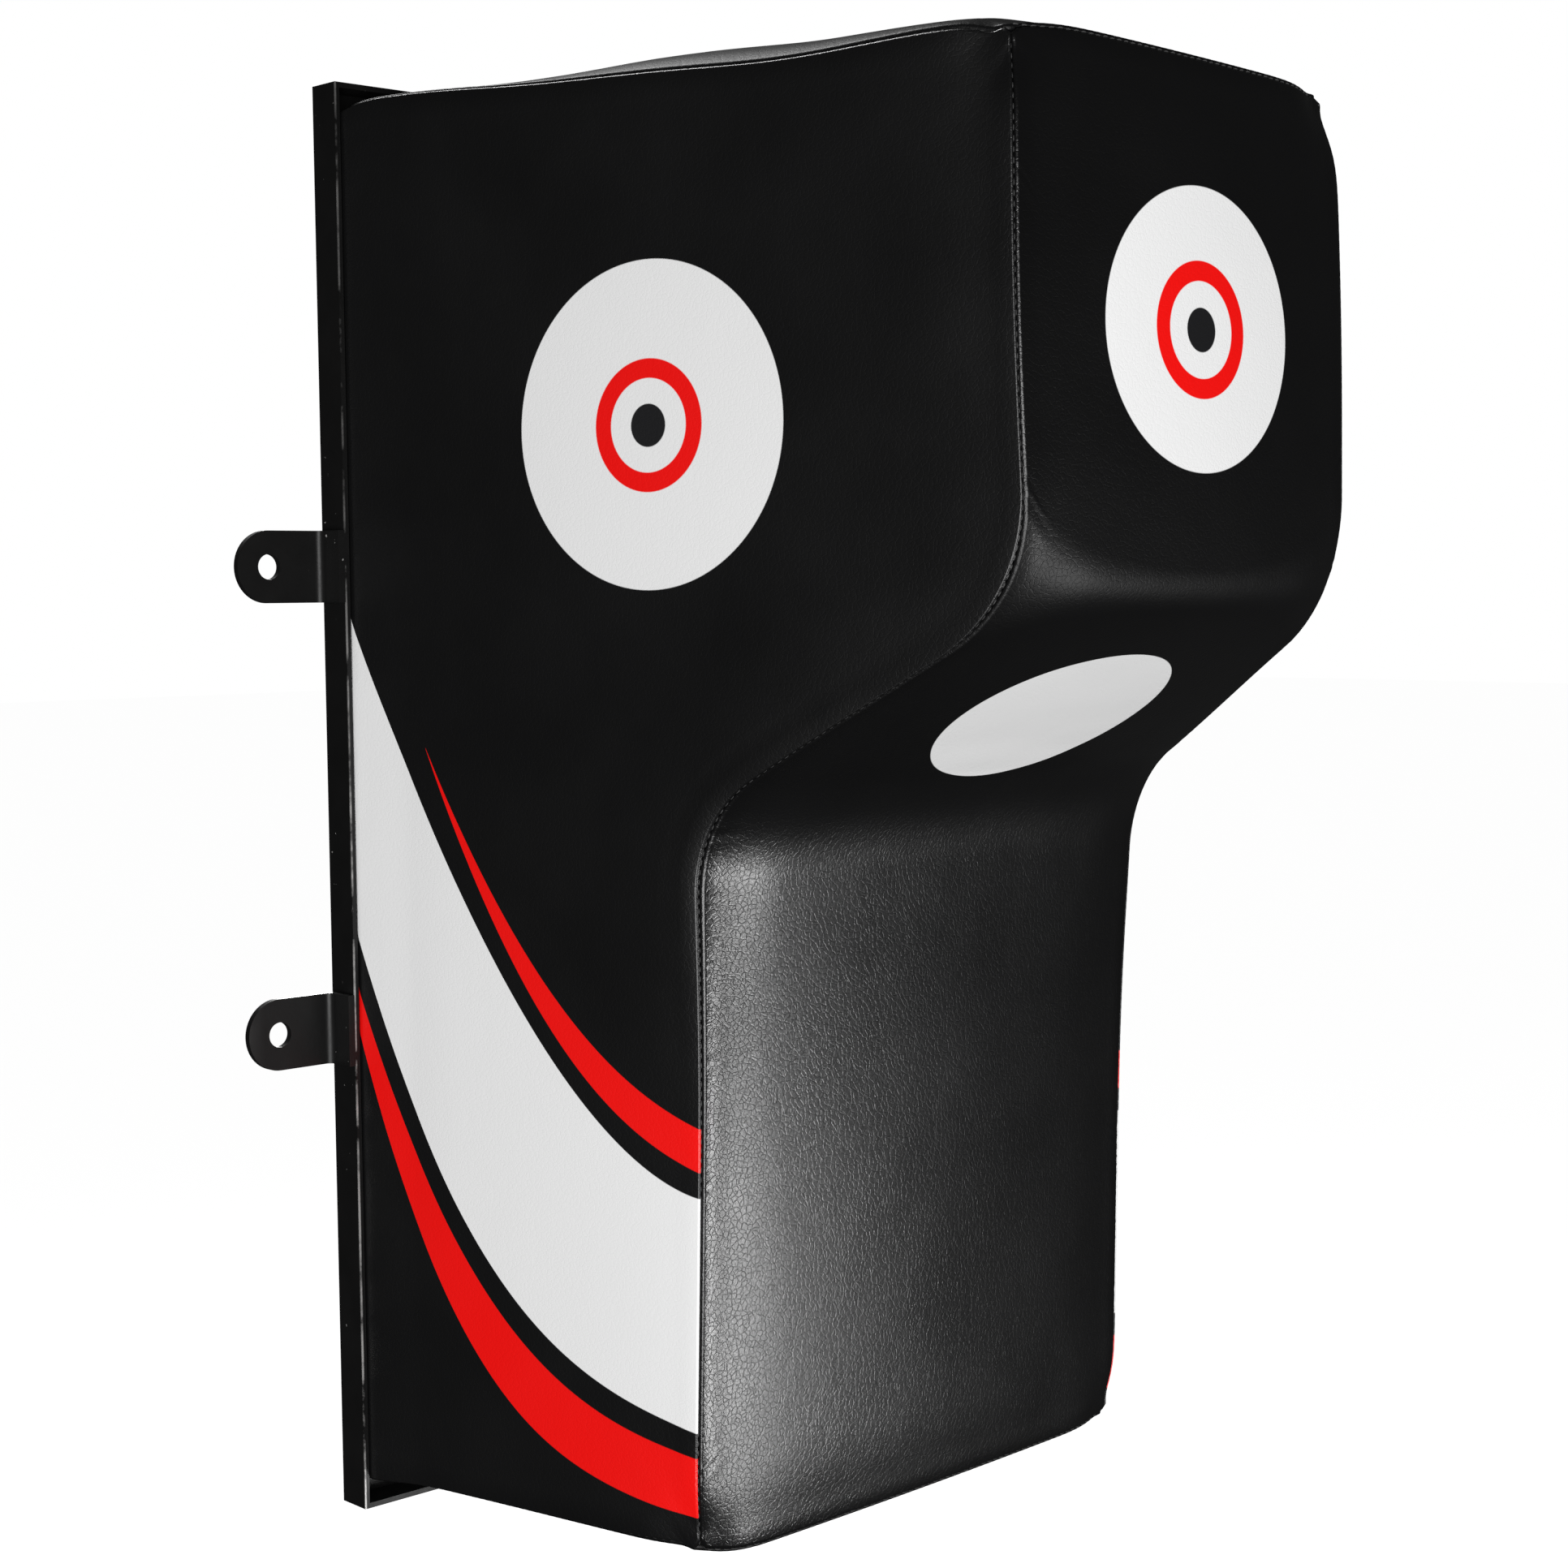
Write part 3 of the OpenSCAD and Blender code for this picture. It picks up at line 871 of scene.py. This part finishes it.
def cage_mesh():
    """A coarse copy of all the covers, with the seams' points marked so that they can be sewn
    together.
    """
    points, faces, held = [], [], []
    for panel in PANELS:
        build = Builder()
        outer = None
        for inset in CAGE_RINGS:
            flat, *_ = panel.ring(inset, COARSE)
            base = panel.place(flat)
            ring = build.add(base, base, inset)
            if outer is not None:
                build.bridge(outer, ring, panel.closed)
            outer = ring
        flat = coons(panel, COARSE, inset)
        base = panel.place(flat)
        build.field(field_grid(build, panel, outer, flat.shape[:2], base, base))
        new_faces = [f[::-1] for f in build.faces] if panel.flip else build.faces
        offset = sum(len(p) for p in points)
        points.append(np.concatenate(build.points))
        held.append(np.concatenate(build.inset) == 0)
        faces += [[v + offset for v in f] for f in new_faces]
    return np.concatenate(points), faces, np.concatenate(held)


def tree_of(points):
    tree = KDTree(len(points))
    for i, p in enumerate(points):
        tree.insert(p, i)
    tree.balance()
    return tree


def settled(base_sets):
    """Cloth simulation of the covers under the foam's push: how far each base point moves."""
    points, faces, held = cage_mesh()
    mesh = bpy.data.meshes.new("cage")
    mesh.from_pydata((points * MM).tolist(), [], [list(map(int, f)) for f in faces])
    cage = bpy.data.objects.new("cage", mesh)
    bpy.context.scene.collection.objects.link(cage)
    tree = tree_of(points)
    keep = np.arange(len(points))
    for i in np.where(held)[0]:
        near = [n for _, n, _ in tree.find_range(points[i], WELD_DISTANCE) if held[n]]
        keep[i] = min(near)
    weld = {}
    for i, k in enumerate(keep):
        weld.setdefault(int(k), []).append(i)
    order = {k: n for n, k in enumerate(weld)}
    new_index = np.array([order[int(k)] for k in keep])
    merged = np.array([points[members].mean(axis=0) for members in weld.values()])
    merged_faces = []
    for f in faces:
        g = [int(new_index[v]) for v in f]
        if len(set(g)) == len(g):
            merged_faces.append(g)
    mesh.clear_geometry()
    mesh.from_pydata((merged * MM).tolist(), [], merged_faces)
    fixed = {int(new_index[i]) for i in np.where(held)[0]}
    fixed |= {n for n, p in enumerate(merged) if -p[1] < FLANGE_D + 1}
    group = cage.vertex_groups.new(name="held")
    group.add(sorted(fixed), 1.0, "REPLACE")
    slack = cage.vertex_groups.new(name="slack")
    rng = np.random.default_rng(SLACK_SEED)
    directions = rng.normal(size=(SLACK_WAVES, 3)) / SLACK_LENGTH
    phase = rng.uniform(0, 2 * np.pi, SLACK_WAVES)
    loose = np.sin(merged @ directions.T * 2 * np.pi + phase).mean(axis=1)
    loose = np.clip(0.5 + 1.1 * loose, 0, 1)
    for n, value in enumerate(loose):
        slack.add([n], float(value), "REPLACE")

    cloth = cage.modifiers.new("settle", "CLOTH")
    for setting, value in CLOTH.items():
        setattr(cloth.settings, setting, value)
    cloth.settings.effector_weights.gravity = 0
    cloth.collision_settings.use_collision = False
    scene = bpy.context.scene
    scene.frame_start, scene.frame_end = 1, SETTLE_FRAMES
    cloth.point_cache.frame_start, cloth.point_cache.frame_end = 1, SETTLE_FRAMES
    for number in range(1, SETTLE_FRAMES + 1):
        scene.frame_set(number)
        bpy.context.view_layer.update()
    moved = cage.evaluated_get(bpy.context.evaluated_depsgraph_get()).to_mesh()
    after = np.zeros(len(merged) * 3)
    moved.vertices.foreach_get("co", after)
    shift = after.reshape(-1, 3) / MM - merged
    scene.frame_set(1)
    bpy.data.objects.remove(cage)
    bpy.data.meshes.remove(mesh)

    size = np.linalg.norm(shift, axis=1, keepdims=True)
    shift *= SETTLE_CAP / (SETTLE_CAP + size)
    tree = tree_of(merged)
    results = []
    for base in base_sets:
        moves = np.zeros_like(base)
        for i, p in enumerate(base):
            found = tree.find_n(p, CARRY_POINTS)
            weights = np.array([math.exp(-((d / CARRY_REACH) ** 2)) + 1e-9 for _, _, d in found])
            near = [n for _, n, _ in found]
            moves[i] = (weights[:, None] * shift[near]).sum(axis=0) / weights.sum()
        results.append(moves)
    return results


# ---------------- node helpers

def material(name):
    made = bpy.data.materials.new(name)
    made.use_nodes = True
    return made, Nodes(made.node_tree)


class Nodes:
    """Short calls that add shader nodes to one tree."""

    def __init__(self, tree):
        self.tree = tree
        self.shader = tree.nodes["Principled BSDF"]
        self.coords = tree.nodes.new("ShaderNodeTexCoord").outputs["Object"]

    def plug(self, value, socket):
        if isinstance(value, bpy.types.NodeSocket):
            self.tree.links.new(value, socket)
        elif value is not None:
            socket.default_value = value

    def math(self, operation, a, b=None, c=None, clamp=False):
        node = self.tree.nodes.new("ShaderNodeMath")
        node.operation, node.use_clamp = operation, clamp
        for value, socket in zip((a, b, c), node.inputs):
            self.plug(value, socket)
        return node.outputs[0]

    def times(self, a, b):
        return self.math("MULTIPLY", a, b)

    def plus(self, a, b):
        return self.math("ADD", a, b)

    def minus(self, a, b):
        return self.math("SUBTRACT", a, b)

    def far(self, a, b):
        """The length of a plane vector."""
        return self.math("SQRT", self.plus(self.times(a, a), self.times(b, b)))

    def node(self, kind, **inputs):
        """A new node, with the named inputs set or linked."""
        made = self.tree.nodes.new("ShaderNode" + kind)
        for name, value in inputs.items():
            self.plug(value, made.inputs[name])
        return made

    def parts(self, vector):
        return self.node("SeparateXYZ", Vector=vector).outputs

    def noise(self, scale, detail=2.0, roughness=0.5, vector=None):
        made = self.node("TexNoise", Vector=vector or self.coords, Scale=scale, Detail=detail,
                         Roughness=roughness)
        return made.outputs["Fac"]

    def cells(self, scale, feature="F1", vector=None):
        made = self.node("TexVoronoi", Vector=vector or self.coords, Scale=scale)
        made.feature = feature
        return made.outputs["Distance"]

    def ramp(self, value, stops):
        """A colour or grey by value. stops are (place, grey or colour)."""
        node = self.tree.nodes.new("ShaderNodeValToRGB")
        ramp = node.color_ramp
        while len(ramp.elements) < len(stops):
            ramp.elements.new(0.5)
        for element, (where, shade) in zip(ramp.elements, stops):
            element.position = where
            element.color = (*shade, 1) if hasattr(shade, "__len__") else (shade,) * 3 + (1,)
        self.plug(value, node.inputs[0])
        return node.outputs["Color"]

    def span(self, value, low, high, to_low=0.0, to_high=1.0):
        node = self.tree.nodes.new("ShaderNodeMapRange")
        for socket, v in zip(node.inputs, (value, low, high, to_low, to_high)):
            self.plug(v, socket)
        return node.outputs[0]

    def mix(self, factor, a, b):
        node = self.tree.nodes.new("ShaderNodeMix")
        node.data_type = "RGBA"
        self.plug(factor, node.inputs["Factor"])
        for value, socket in ((a, node.inputs[6]), (b, node.inputs[7])):
            self.plug((*value, 1) if isinstance(value, tuple) else value, socket)
        return node.outputs[2]

    def bump(self, height, distance, strength=1.0, normal=None):
        made = self.node("Bump", Distance=distance, Strength=strength, Height=height,
                         Normal=normal)
        return made.outputs["Normal"]

    def attribute(self, name):
        node = self.tree.nodes.new("ShaderNodeAttribute")
        node.attribute_name = name
        return node.outputs["Fac"]

    def warped(self):
        """Object coordinates nudged by noise, so that cells aren't regular."""
        nudge = self.node("TexNoise", Vector=self.coords, Scale=160).outputs["Color"]
        add = self.node("VectorMath")
        add.operation = "MULTIPLY_ADD"
        for value, socket in zip((nudge, (0.0022,) * 3, self.coords), add.inputs):
            self.plug(value, socket)
        return add.outputs[0]

    def finish(self, color, roughness, normal=None, **settings):
        self.plug((*color, 1) if isinstance(color, tuple) else color,
                  self.shader.inputs["Base Color"])
        self.plug(roughness, self.shader.inputs["Roughness"])
        self.plug(normal, self.shader.inputs["Normal"])
        for name, value in settings.items():
            self.shader.inputs[name.title()].default_value = value


# ---------------- prints

DISC_SIDE = (-0.225, 0.199, 0.084)
DISC_HEAD = (0.0, 0.2405, 0.0705)
# The slope's disc is stretched across the pad
DISC_SLOPE_R, DISC_SLOPE_STRETCH = 0.0730, 1.15
SLOPE_MIDDLE = np.array([343.0, 48.5]) * MM
RING_OUT, RING_IN, DOT_R = 0.034, 0.024, 0.011
WHITE_INK = (0.80, 0.80, 0.80)
RED_INK = (0.84, 0.004, 0.003)
BLACK_INK = (0.010, 0.010, 0.011)
EDGE = 0.00025


def inside(n, distance, limit):
    """1 where a distance is below a limit, with a fine soft edge."""
    return n.span(distance, limit + EDGE, limit - EDGE)


def below(n, value, limit):
    """1 where a value is below a limit that may vary."""
    gap = n.minus(limit, value)
    return n.span(gap, -EDGE, EDGE)


def target(n, color, distance, radius, marked):
    """A white disc, and on it a red ring round a black dot."""
    color = n.mix(inside(n, distance, radius), color, WHITE_INK)
    if marked:
        band = n.times(inside(n, distance, RING_OUT),
                      n.minus(1.0, inside(n, distance, RING_IN)))
        color = n.mix(band, color, RED_INK)
        color = n.mix(inside(n, distance, DOT_R), color, BLACK_INK)
    return color


def leather(name, prints, painted_shade=None, low=(0.0020, 0.0020, 0.0021), high=(0.0038, 0.0038, 0.0040),
            rough=(0.275, 0.315), grain=0.00012, shine=0.5):
    """Coated black leather with a fine grain, rubbed smoother along its seams; where a band is
    given, its shine is turned down there as painted shade and it is made rougher.
    """
    made, n = material(name)
    cloudy = n.noise(9, 3)
    near_seam = n.span(n.attribute("seam_distance"), 0.0, 14.0, 1.0, 0.0)
    color = n.mix(cloudy, low, high)
    if prints:
        color = prints(n, color)
    pebbles = n.cells(620, "F1")
    creases = n.cells(330, "DISTANCE_TO_EDGE", n.warped())
    height = n.plus(n.times(pebbles, 0.5),
                    n.span(creases, 0.0, 0.12, 0.0, 0.6))
    height = n.plus(height, n.times(n.noise(1500, 2), 0.5))
    normal = n.bump(height, grain, 0.55)
    normal = n.bump(n.noise(26, 3), 0.0008, 0.3, normal)
    roughness = n.span(n.noise(14, 4), 0.3, 0.7, rough[0], rough[1])
    roughness = n.minus(roughness, n.times(near_seam, 0.06))
    n.shader.inputs["Specular IOR Level"].default_value = shine
    # Painted shade: in the given band the shine is turned down, and the roughness is raised.
    if painted_shade:
        share = painted_shade(n)
        roughness = n.plus(roughness, n.times(share, NOSE_DULLNESS))
        n.plug(n.span(share, 0.0, 1.0, shine, 0.36 * shine), n.shader.inputs["Specular IOR Level"])
    n.finish(color, roughness, normal)
    return made


# The edges of the swept stripes fall from the frame towards the front seam, where they end.
# Each is (depth it starts at, height there, height at its end, lean, bend), heights above the
# pad's foot: lean is the share of the fall that is straight, bend how fast the rest falls.
STRIPE_END = 256
WHITE_UPPER = (20, 488, 187, 0.0, 1.76)
WHITE_LOWER = (20, 313, 61, 0.19, 3.1)
RED_UPPER_TOP = (72, 419, 222, 0.3, 2.2)
RED_UPPER_LOW = (72, 419, 199, 0.25, 2.3)
RED_LOWER_TOP = (20, 282, 48, 0.15, 3.0)
RED_LOWER_LOW = (20, 258, 15, 0.12, 3.5)


def edge_height(n, depth, edge):
    """The height of a stripe's edge at a depth, in metres."""
    start, high, low, lean, bend = edge
    rest = n.span(depth, STRIPE_END * MM, start * MM)
    fall = n.plus(n.times(rest, lean),
                  n.times(n.math("POWER", rest, bend), 1 - lean))
    return n.span(fall, 0.0, 1.0, (PAD_BOTTOM + low) * MM, (PAD_BOTTOM + high) * MM)


def stripe(n, depth, z, upper, lower, start):
    """1 between two edges, from a depth on."""
    mask = n.times(below(n, z, edge_height(n, depth, upper)),
                  below(n, edge_height(n, depth, lower), z))
    return n.times(mask, below(n, start * MM, depth))


def side_prints(n, color):
    _, y, z = n.parts(n.coords)
    depth = n.times(y, -1.0)
    dy = n.math("DIVIDE", n.minus(y, DISC_SIDE[0]), math.cos(SIDE_TAPER))
    dz = n.minus(z, DISC_SIDE[1])
    distance = n.far(dy, dz)
    color = target(n, color, distance, DISC_SIDE[2], True)
    white = stripe(n, depth, z, WHITE_UPPER, WHITE_LOWER, 4)
    upper = stripe(n, depth, z, RED_UPPER_TOP, RED_UPPER_LOW, 73)
    lower = stripe(n, depth, z, RED_LOWER_TOP, RED_LOWER_LOW, 20)
    color = n.mix(white, color, WHITE_INK)
    return n.mix(n.math("MAXIMUM", upper, lower), color, RED_INK)


# The band at the nose where the leather's shine is turned down as painted shade and its roughness
# raised, as heights from the nose: its lower edge, middle and upper edge
NOSE_SHADE_HEIGHTS = (-70, 0, 80)
NOSE_DULLNESS = 0.16


def nose_painted_shade(n):
    """1 round the nose, where the leather's shine is turned down as painted shade and it is
    rougher, and 0 away from it.
    """
    _, _, z = n.parts(n.coords)
    low, middle, high = ((NOSE_Z + step) * MM for step in NOSE_SHADE_HEIGHTS)
    return n.times(n.span(z, low, middle), n.span(z, high, middle))


def front_prints(n, color):
    x, y, z = n.parts(n.coords)
    dz = n.minus(z, DISC_HEAD[1])
    distance = n.far(x, dz)
    color = target(n, color, distance, DISC_HEAD[2], True)
    along_d = n.times(n.plus(y, float(SLOPE_MIDDLE[0])), -math.cos(SLOPE_DIR))
    along_z = n.times(n.minus(z, float(SLOPE_MIDDLE[1])), math.sin(SLOPE_DIR))
    along = n.times(n.plus(along_d, along_z), DISC_SLOPE_STRETCH)
    distance = n.far(x, along)
    return target(n, color, distance, DISC_SLOPE_R, False)


# ---------------- materials

side_leather = leather("side_leather", side_prints, rough=(0.37, 0.43))
front_leather = leather("front_leather", front_prints, nose_painted_shade)
end_leather = leather("end_leather", None, rough=(0.46, 0.54), shine=0.16)


def thread_material():
    made, n = material("black_thread")
    twist = n.noise(900, 2)
    n.finish(n.mix(twist, (0.012, 0.012, 0.012), (0.045, 0.045, 0.045)), 0.62,
             n.bump(twist, 0.0003, 0.8))
    return made


def paint_material(name, edge_line_amount):
    """Black paint on steel, with random grey chips, and a patchy light grey line along the
    flanges' front edges that is stronger lower down.
    """
    made, n = material(name)
    x, y, z = n.parts(n.coords)
    # A patchy light grey line along the flanges' front edges, stronger lower down, and left out
    # where the second argument is 0.
    grey_edge_line = n.span(y, -(FLANGE_D - 0.9) * MM, -(FLANGE_D - 0.2) * MM)
    outside = n.span(n.math("ABSOLUTE", x), (FRAME_HALF - 1.2) * MM, (FRAME_HALF - 0.5) * MM)
    grey_edge_line = n.times(grey_edge_line, outside)
    stronger_lower_down = n.span(z, 0.16, -0.1, 0.25, 1.0)
    patchy = n.span(n.noise(38, 5, 0.65), 0.42, 0.6)
    line_and_chips = n.math("MULTIPLY", n.times(grey_edge_line, patchy), stronger_lower_down, clamp=True)
    line_and_chips = n.times(line_and_chips, edge_line_amount)
    specks = n.span(n.noise(260, 2), 0.74, 0.78)
    chips = n.times(specks, n.span(n.noise(17, 2), 0.5, 0.62))
    line_and_chips = n.math("MAXIMUM", line_and_chips, chips)
    black = n.mix(n.noise(30, 4), (0.003, 0.003, 0.0032), (0.006, 0.0058, 0.0056))
    color = n.mix(line_and_chips, black, (0.52, 0.51, 0.50))
    roughness = n.span(n.noise(55, 4), 0.3, 0.7, 0.36, 0.5)
    peel = n.bump(n.noise(420, 2), 0.00025, 0.3)
    n.finish(color, roughness, n.bump(n.minus(1.0, line_and_chips), 0.0002, 0.5, peel))
    n.plug(n.times(line_and_chips, 0.5), n.shader.inputs["Metallic"])
    n.shader.inputs["Specular IOR Level"].default_value = 0.3
    return made


def ply_material():
    """Birch ply: long grain on the faces and thin plies at the edges."""
    made, n = material("plywood")
    y = n.parts(n.coords)[1]
    stretch = n.node("Mapping", Vector=n.coords, Scale=(14, 60, 1.2))
    grain = n.noise(6, 6, 0.6, stretch.outputs[0])
    plies = n.span(n.math("SINE", n.times(y, 2 * math.pi / 0.0034)), -1, 1)
    face = n.ramp(grain, [(0.3, (0.42, 0.27, 0.14)), (0.7, (0.66, 0.49, 0.30))])
    color = n.mix(n.times(plies, 0.35), face, (0.30, 0.18, 0.09))
    n.finish(color, n.span(grain, 0.3, 0.7, 0.55, 0.75), n.bump(grain, 0.0006, 0.4))
    return made


def steel_material():
    made, n = material("plated_steel")
    smear = n.noise(240, 3)
    n.finish(n.ramp(smear, [(0.35, (0.50, 0.48, 0.40)), (0.7, (0.74, 0.72, 0.64))]),
             n.span(smear, 0.3, 0.7, 0.25, 0.42), n.bump(smear, 0.00015, 0.4), metallic=1.0)
    return made


def foam_material(name, dark, light):
    made, n = material(name)
    cells = n.cells(420, "F1")
    n.finish(n.mix(cells, dark, light), 0.9, n.bump(cells, 0.0008, 0.6))
    return made


def hem_material():
    """The leather's backing, seen where it is turned over the board."""
    made, n = material("hem_leather")
    weave = n.cells(900, "F1")
    color = n.mix(n.noise(20, 4), (0.016, 0.016, 0.017), (0.030, 0.030, 0.030))
    creased = n.bump(n.noise(42, 4), 0.002, 0.45)
    roughness = n.span(n.noise(60, 3), 0.3, 0.7, 0.5, 0.68)
    n.finish(color, roughness, n.bump(weave, 0.0002, 0.5, creased))
    return made


paint, thread = paint_material("frame_paint", 1.0), thread_material()
NODE_MATERIALS = {
    ("left_frame_bar", "right_frame_bar", "top_frame_bar", "bottom_frame_bar"): paint,
    ("upper_left_lug", "lower_left_lug", "upper_right_lug", "lower_right_lug"):
        paint_material("lug_paint", 0.0),
    ("backboard",): ply_material(),
    ("board_screws", "staples"): steel_material(),
    ("base_foam", "lower_core_foam", "head_core_foam"): foam_material(
        "firm_foam", (0.10, 0.16, 0.28), (0.22, 0.31, 0.48)
    ),
    ("left_hem", "right_hem", "top_hem", "bottom_hem"): hem_material(),
}
for names, made in NODE_MATERIALS.items():
    for name in names:
        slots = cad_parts[name].material_slots
        if len(slots):
            for slot in slots:
                slot.material = made
        else:
            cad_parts[name].data.materials.append(made)


# ---------------- making the covers

REPLACED = {
    "front_cover": ("front_panel", "lower_front_foam", "slope_foam", "upper_front_foam"),
    "right_side_cover": ("right_side_panel", "right_lower_side_foam", "right_head_side_foam"),
    "left_side_cover": ("left_side_panel", "left_lower_side_foam", "left_head_side_foam"),
    "top_cover": ("top_panel", "top_foam"),
    "bottom_cover": ("bottom_panel", "bottom_foam"),
}


def new_piece(name, points, faces, made):
    mesh = bpy.data.meshes.new(name)
    mesh.from_pydata((points * MM).tolist(), [], [[int(v) for v in f] for f in faces])
    mesh.materials.append(made)
    mesh.polygons.foreach_set("use_smooth", [True] * len(mesh.polygons))
    mesh.update()
    piece = bpy.data.objects.new(name, mesh)
    bpy.context.scene.collection.objects.link(piece)
    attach(piece, "root")
    return piece


def make_covers():
    builds = [cover_mesh(panel) for panel in PANELS]
    bases = [np.concatenate(b.base) for b in builds]
    moves = settled(bases)
    skins = {front: front_leather, left: side_leather, right: side_leather}
    for panel, build, move in zip(PANELS, builds, moves):
        points = np.concatenate(build.points)
        inset = np.concatenate(build.inset)
        points = points + move * smooth(0, SETTLE_START, inset)[:, None]
        piece = new_piece(panel.name, points, build.faces, skins.get(panel, end_leather))
        piece.data.attributes.new("seam_distance", "FLOAT", "POINT").data.foreach_set(
            "value", inset.astype(np.float32)
        )
        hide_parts(*REPLACED[panel.name])


make_covers()


# ---------------- stitches

STITCH_LENGTH, STITCH_R = 3.4, 0.45
STITCH_SINK, STITCH_ARCH = 2.2, 0.35
STITCH_RINGS, STITCH_SIDES = 7, 8
STITCH_TURN, STITCH_UNEVEN = 0.05, 0.15


def stitch_points():
    """One stitch along X: rings of points, thin at the ends."""
    rings = []
    for share in np.linspace(-1, 1, STITCH_RINGS):
        r = STITCH_R * math.sqrt(max(1 - abs(share) ** 3, 0.03))
        arch = -STITCH_ARCH * (1 - share**2)
        for k in range(STITCH_SIDES):
            a = 2 * math.pi * k / STITCH_SIDES
            rings.append((share * STITCH_LENGTH / 2, r * math.cos(a) + arch, r * math.sin(a)))
    return np.array(rings)


def stitch_faces():
    sides, last = STITCH_SIDES, STITCH_SIDES * (STITCH_RINGS - 1)
    faces = [[k + j, k + (j + 1) % sides, k + sides + (j + 1) % sides, k + sides + j]
             for k in range(0, last, sides) for j in range(sides)]
    return faces + [list(range(sides))[::-1], list(range(last, last + sides))]


def make_stitches(seam):
    shape, shape_faces = stitch_points(), stitch_faces()
    rng = np.random.default_rng(100 + seams.index(seam))
    points, faces = [], []
    count = int(seam.run[-1] // STITCH_PITCH)
    for k in range(1, count):
        run = (k + 0.5) * STITCH_PITCH
        at, ahead = (between(place, seam.run, seam.line) for place in (run, run + 1))
        inward = unit(between(run, seam.run, seam.inward))
        along = unit(ahead - at)
        across = unit(np.cross(inward, along))
        along = unit(along + across * rng.uniform(-STITCH_TURN, STITCH_TURN))
        centre = at + inward * (STITCH_SINK + rng.uniform(-STITCH_UNEVEN, STITCH_UNEVEN))
        turned = shape @ np.array([along, inward, np.cross(along, inward)])
        faces += [[v + len(points) * len(shape) for v in f] for f in shape_faces]
        points.append(centre + turned)
    return new_piece(f"{seam.name}_stitches", np.concatenate(points), faces, thread)


for seam in seams:
    make_stitches(seam)


# ---------------- floor, light, camera

FLOOR_HALF, FLOOR_DROP = 40.0, 1.2
PAPER, PAPER_GLOW = (0.8, 0.8, 0.8), 0.96
# How bright the studio's walls are: as they light the pad, and as the camera sees them
WORLD_LIGHT, WORLD_SEEN = 0.03, 1.0
# Soft boxes: name, place, what it is aimed at, width, height, power
LIGHTS = (
    ("fill_light", (-2.15, -2.3, -0.45), (0, -0.25, 0), 2.0, 2.0, 110),
    ("low_light", (1.05, -2.69, -1.12), (-0.1, -0.25, -0.2), 0.3, 0.85, 36),
    ("rim_light", (0.0, 1.35, 2.4), (-0.15, -0.25, 0.39), 0.5, 1.0, 48),
    ("back_light", (1.7, 2.3, 0.6), (0, 0, 0), 1.0, 1.0, 60),
)
CAMERA_AT = (-1.0714, -1.2919, 0.1144)
CAMERA_TURN = (42.82, 4.10, -0.59)
LENS, SENSOR = 62.14, 36.0


def aim(thing, place, at):
    thing.location = place
    thing.rotation_euler = (Vector(at) - Vector(place)).to_track_quat("-Z", "Y").to_euler()


def soft_box(name, place, at, width, height, power):
    light = bpy.data.lights.new(name, "AREA")
    light.shape, light.size, light.size_y, light.energy = "RECTANGLE", width, height, power
    thing = bpy.data.objects.new(name, light)
    bpy.context.scene.collection.objects.link(thing)
    aim(thing, place, at)


def make_stage():
    size, drop = FLOOR_HALF, cad_box[0].z - FLOOR_DROP
    mesh = bpy.data.meshes.new("floor")
    mesh.from_pydata([(x * size, y * size, drop) for x, y in ((-1, -1), (1, -1), (1, 1), (-1, 1))],
                     [], [[0, 1, 2, 3]])
    made, n = material("floor")
    n.finish(PAPER, 0.9)
    n.shader.inputs["Emission Color"].default_value = (1, 1, 1, 1)
    n.shader.inputs["Emission Strength"].default_value = PAPER_GLOW
    mesh.materials.append(made)
    floor = bpy.data.objects.new("floor", mesh)
    bpy.context.scene.collection.objects.link(floor)
    floor.visible_diffuse = floor.visible_glossy = False

    world = bpy.data.worlds.new("studio")
    bpy.context.scene.world = world
    world.use_nodes = True
    tree = world.node_tree
    ground = tree.nodes["Background"]
    ground.inputs["Color"].default_value = (1, 1, 1, 1)
    seen = tree.nodes.new("ShaderNodeLightPath").outputs["Is Camera Ray"]
    level = tree.nodes.new("ShaderNodeMapRange")
    level.inputs["To Min"].default_value = WORLD_LIGHT
    level.inputs["To Max"].default_value = WORLD_SEEN
    tree.links.new(seen, level.inputs["Value"])
    tree.links.new(level.outputs[0], ground.inputs["Strength"])

    for light in LIGHTS:
        soft_box(*light)
    bpy.context.scene.view_settings.view_transform = "Standard"


def make_camera():
    yaw, pitch, roll_angle = (math.radians(turn) for turn in CAMERA_TURN)
    ahead = Vector((math.sin(yaw) * math.cos(pitch), math.cos(yaw) * math.cos(pitch),
                    -math.sin(pitch)))
    level = Vector((math.cos(yaw), -math.sin(yaw), 0))
    above = level.cross(ahead)
    across = math.cos(roll_angle) * level + math.sin(roll_angle) * above
    above = math.cos(roll_angle) * above - math.sin(roll_angle) * level
    data = bpy.data.cameras.new("camera")
    data.lens, data.sensor_width = LENS, SENSOR
    camera = bpy.data.objects.new("camera", data)
    bpy.context.scene.collection.objects.link(camera)
    turn = Matrix((across, above, -ahead)).transposed().to_4x4()
    camera.matrix_world = Matrix.Translation(CAMERA_AT) @ turn
    bpy.context.scene.camera = camera


make_stage()
make_camera()
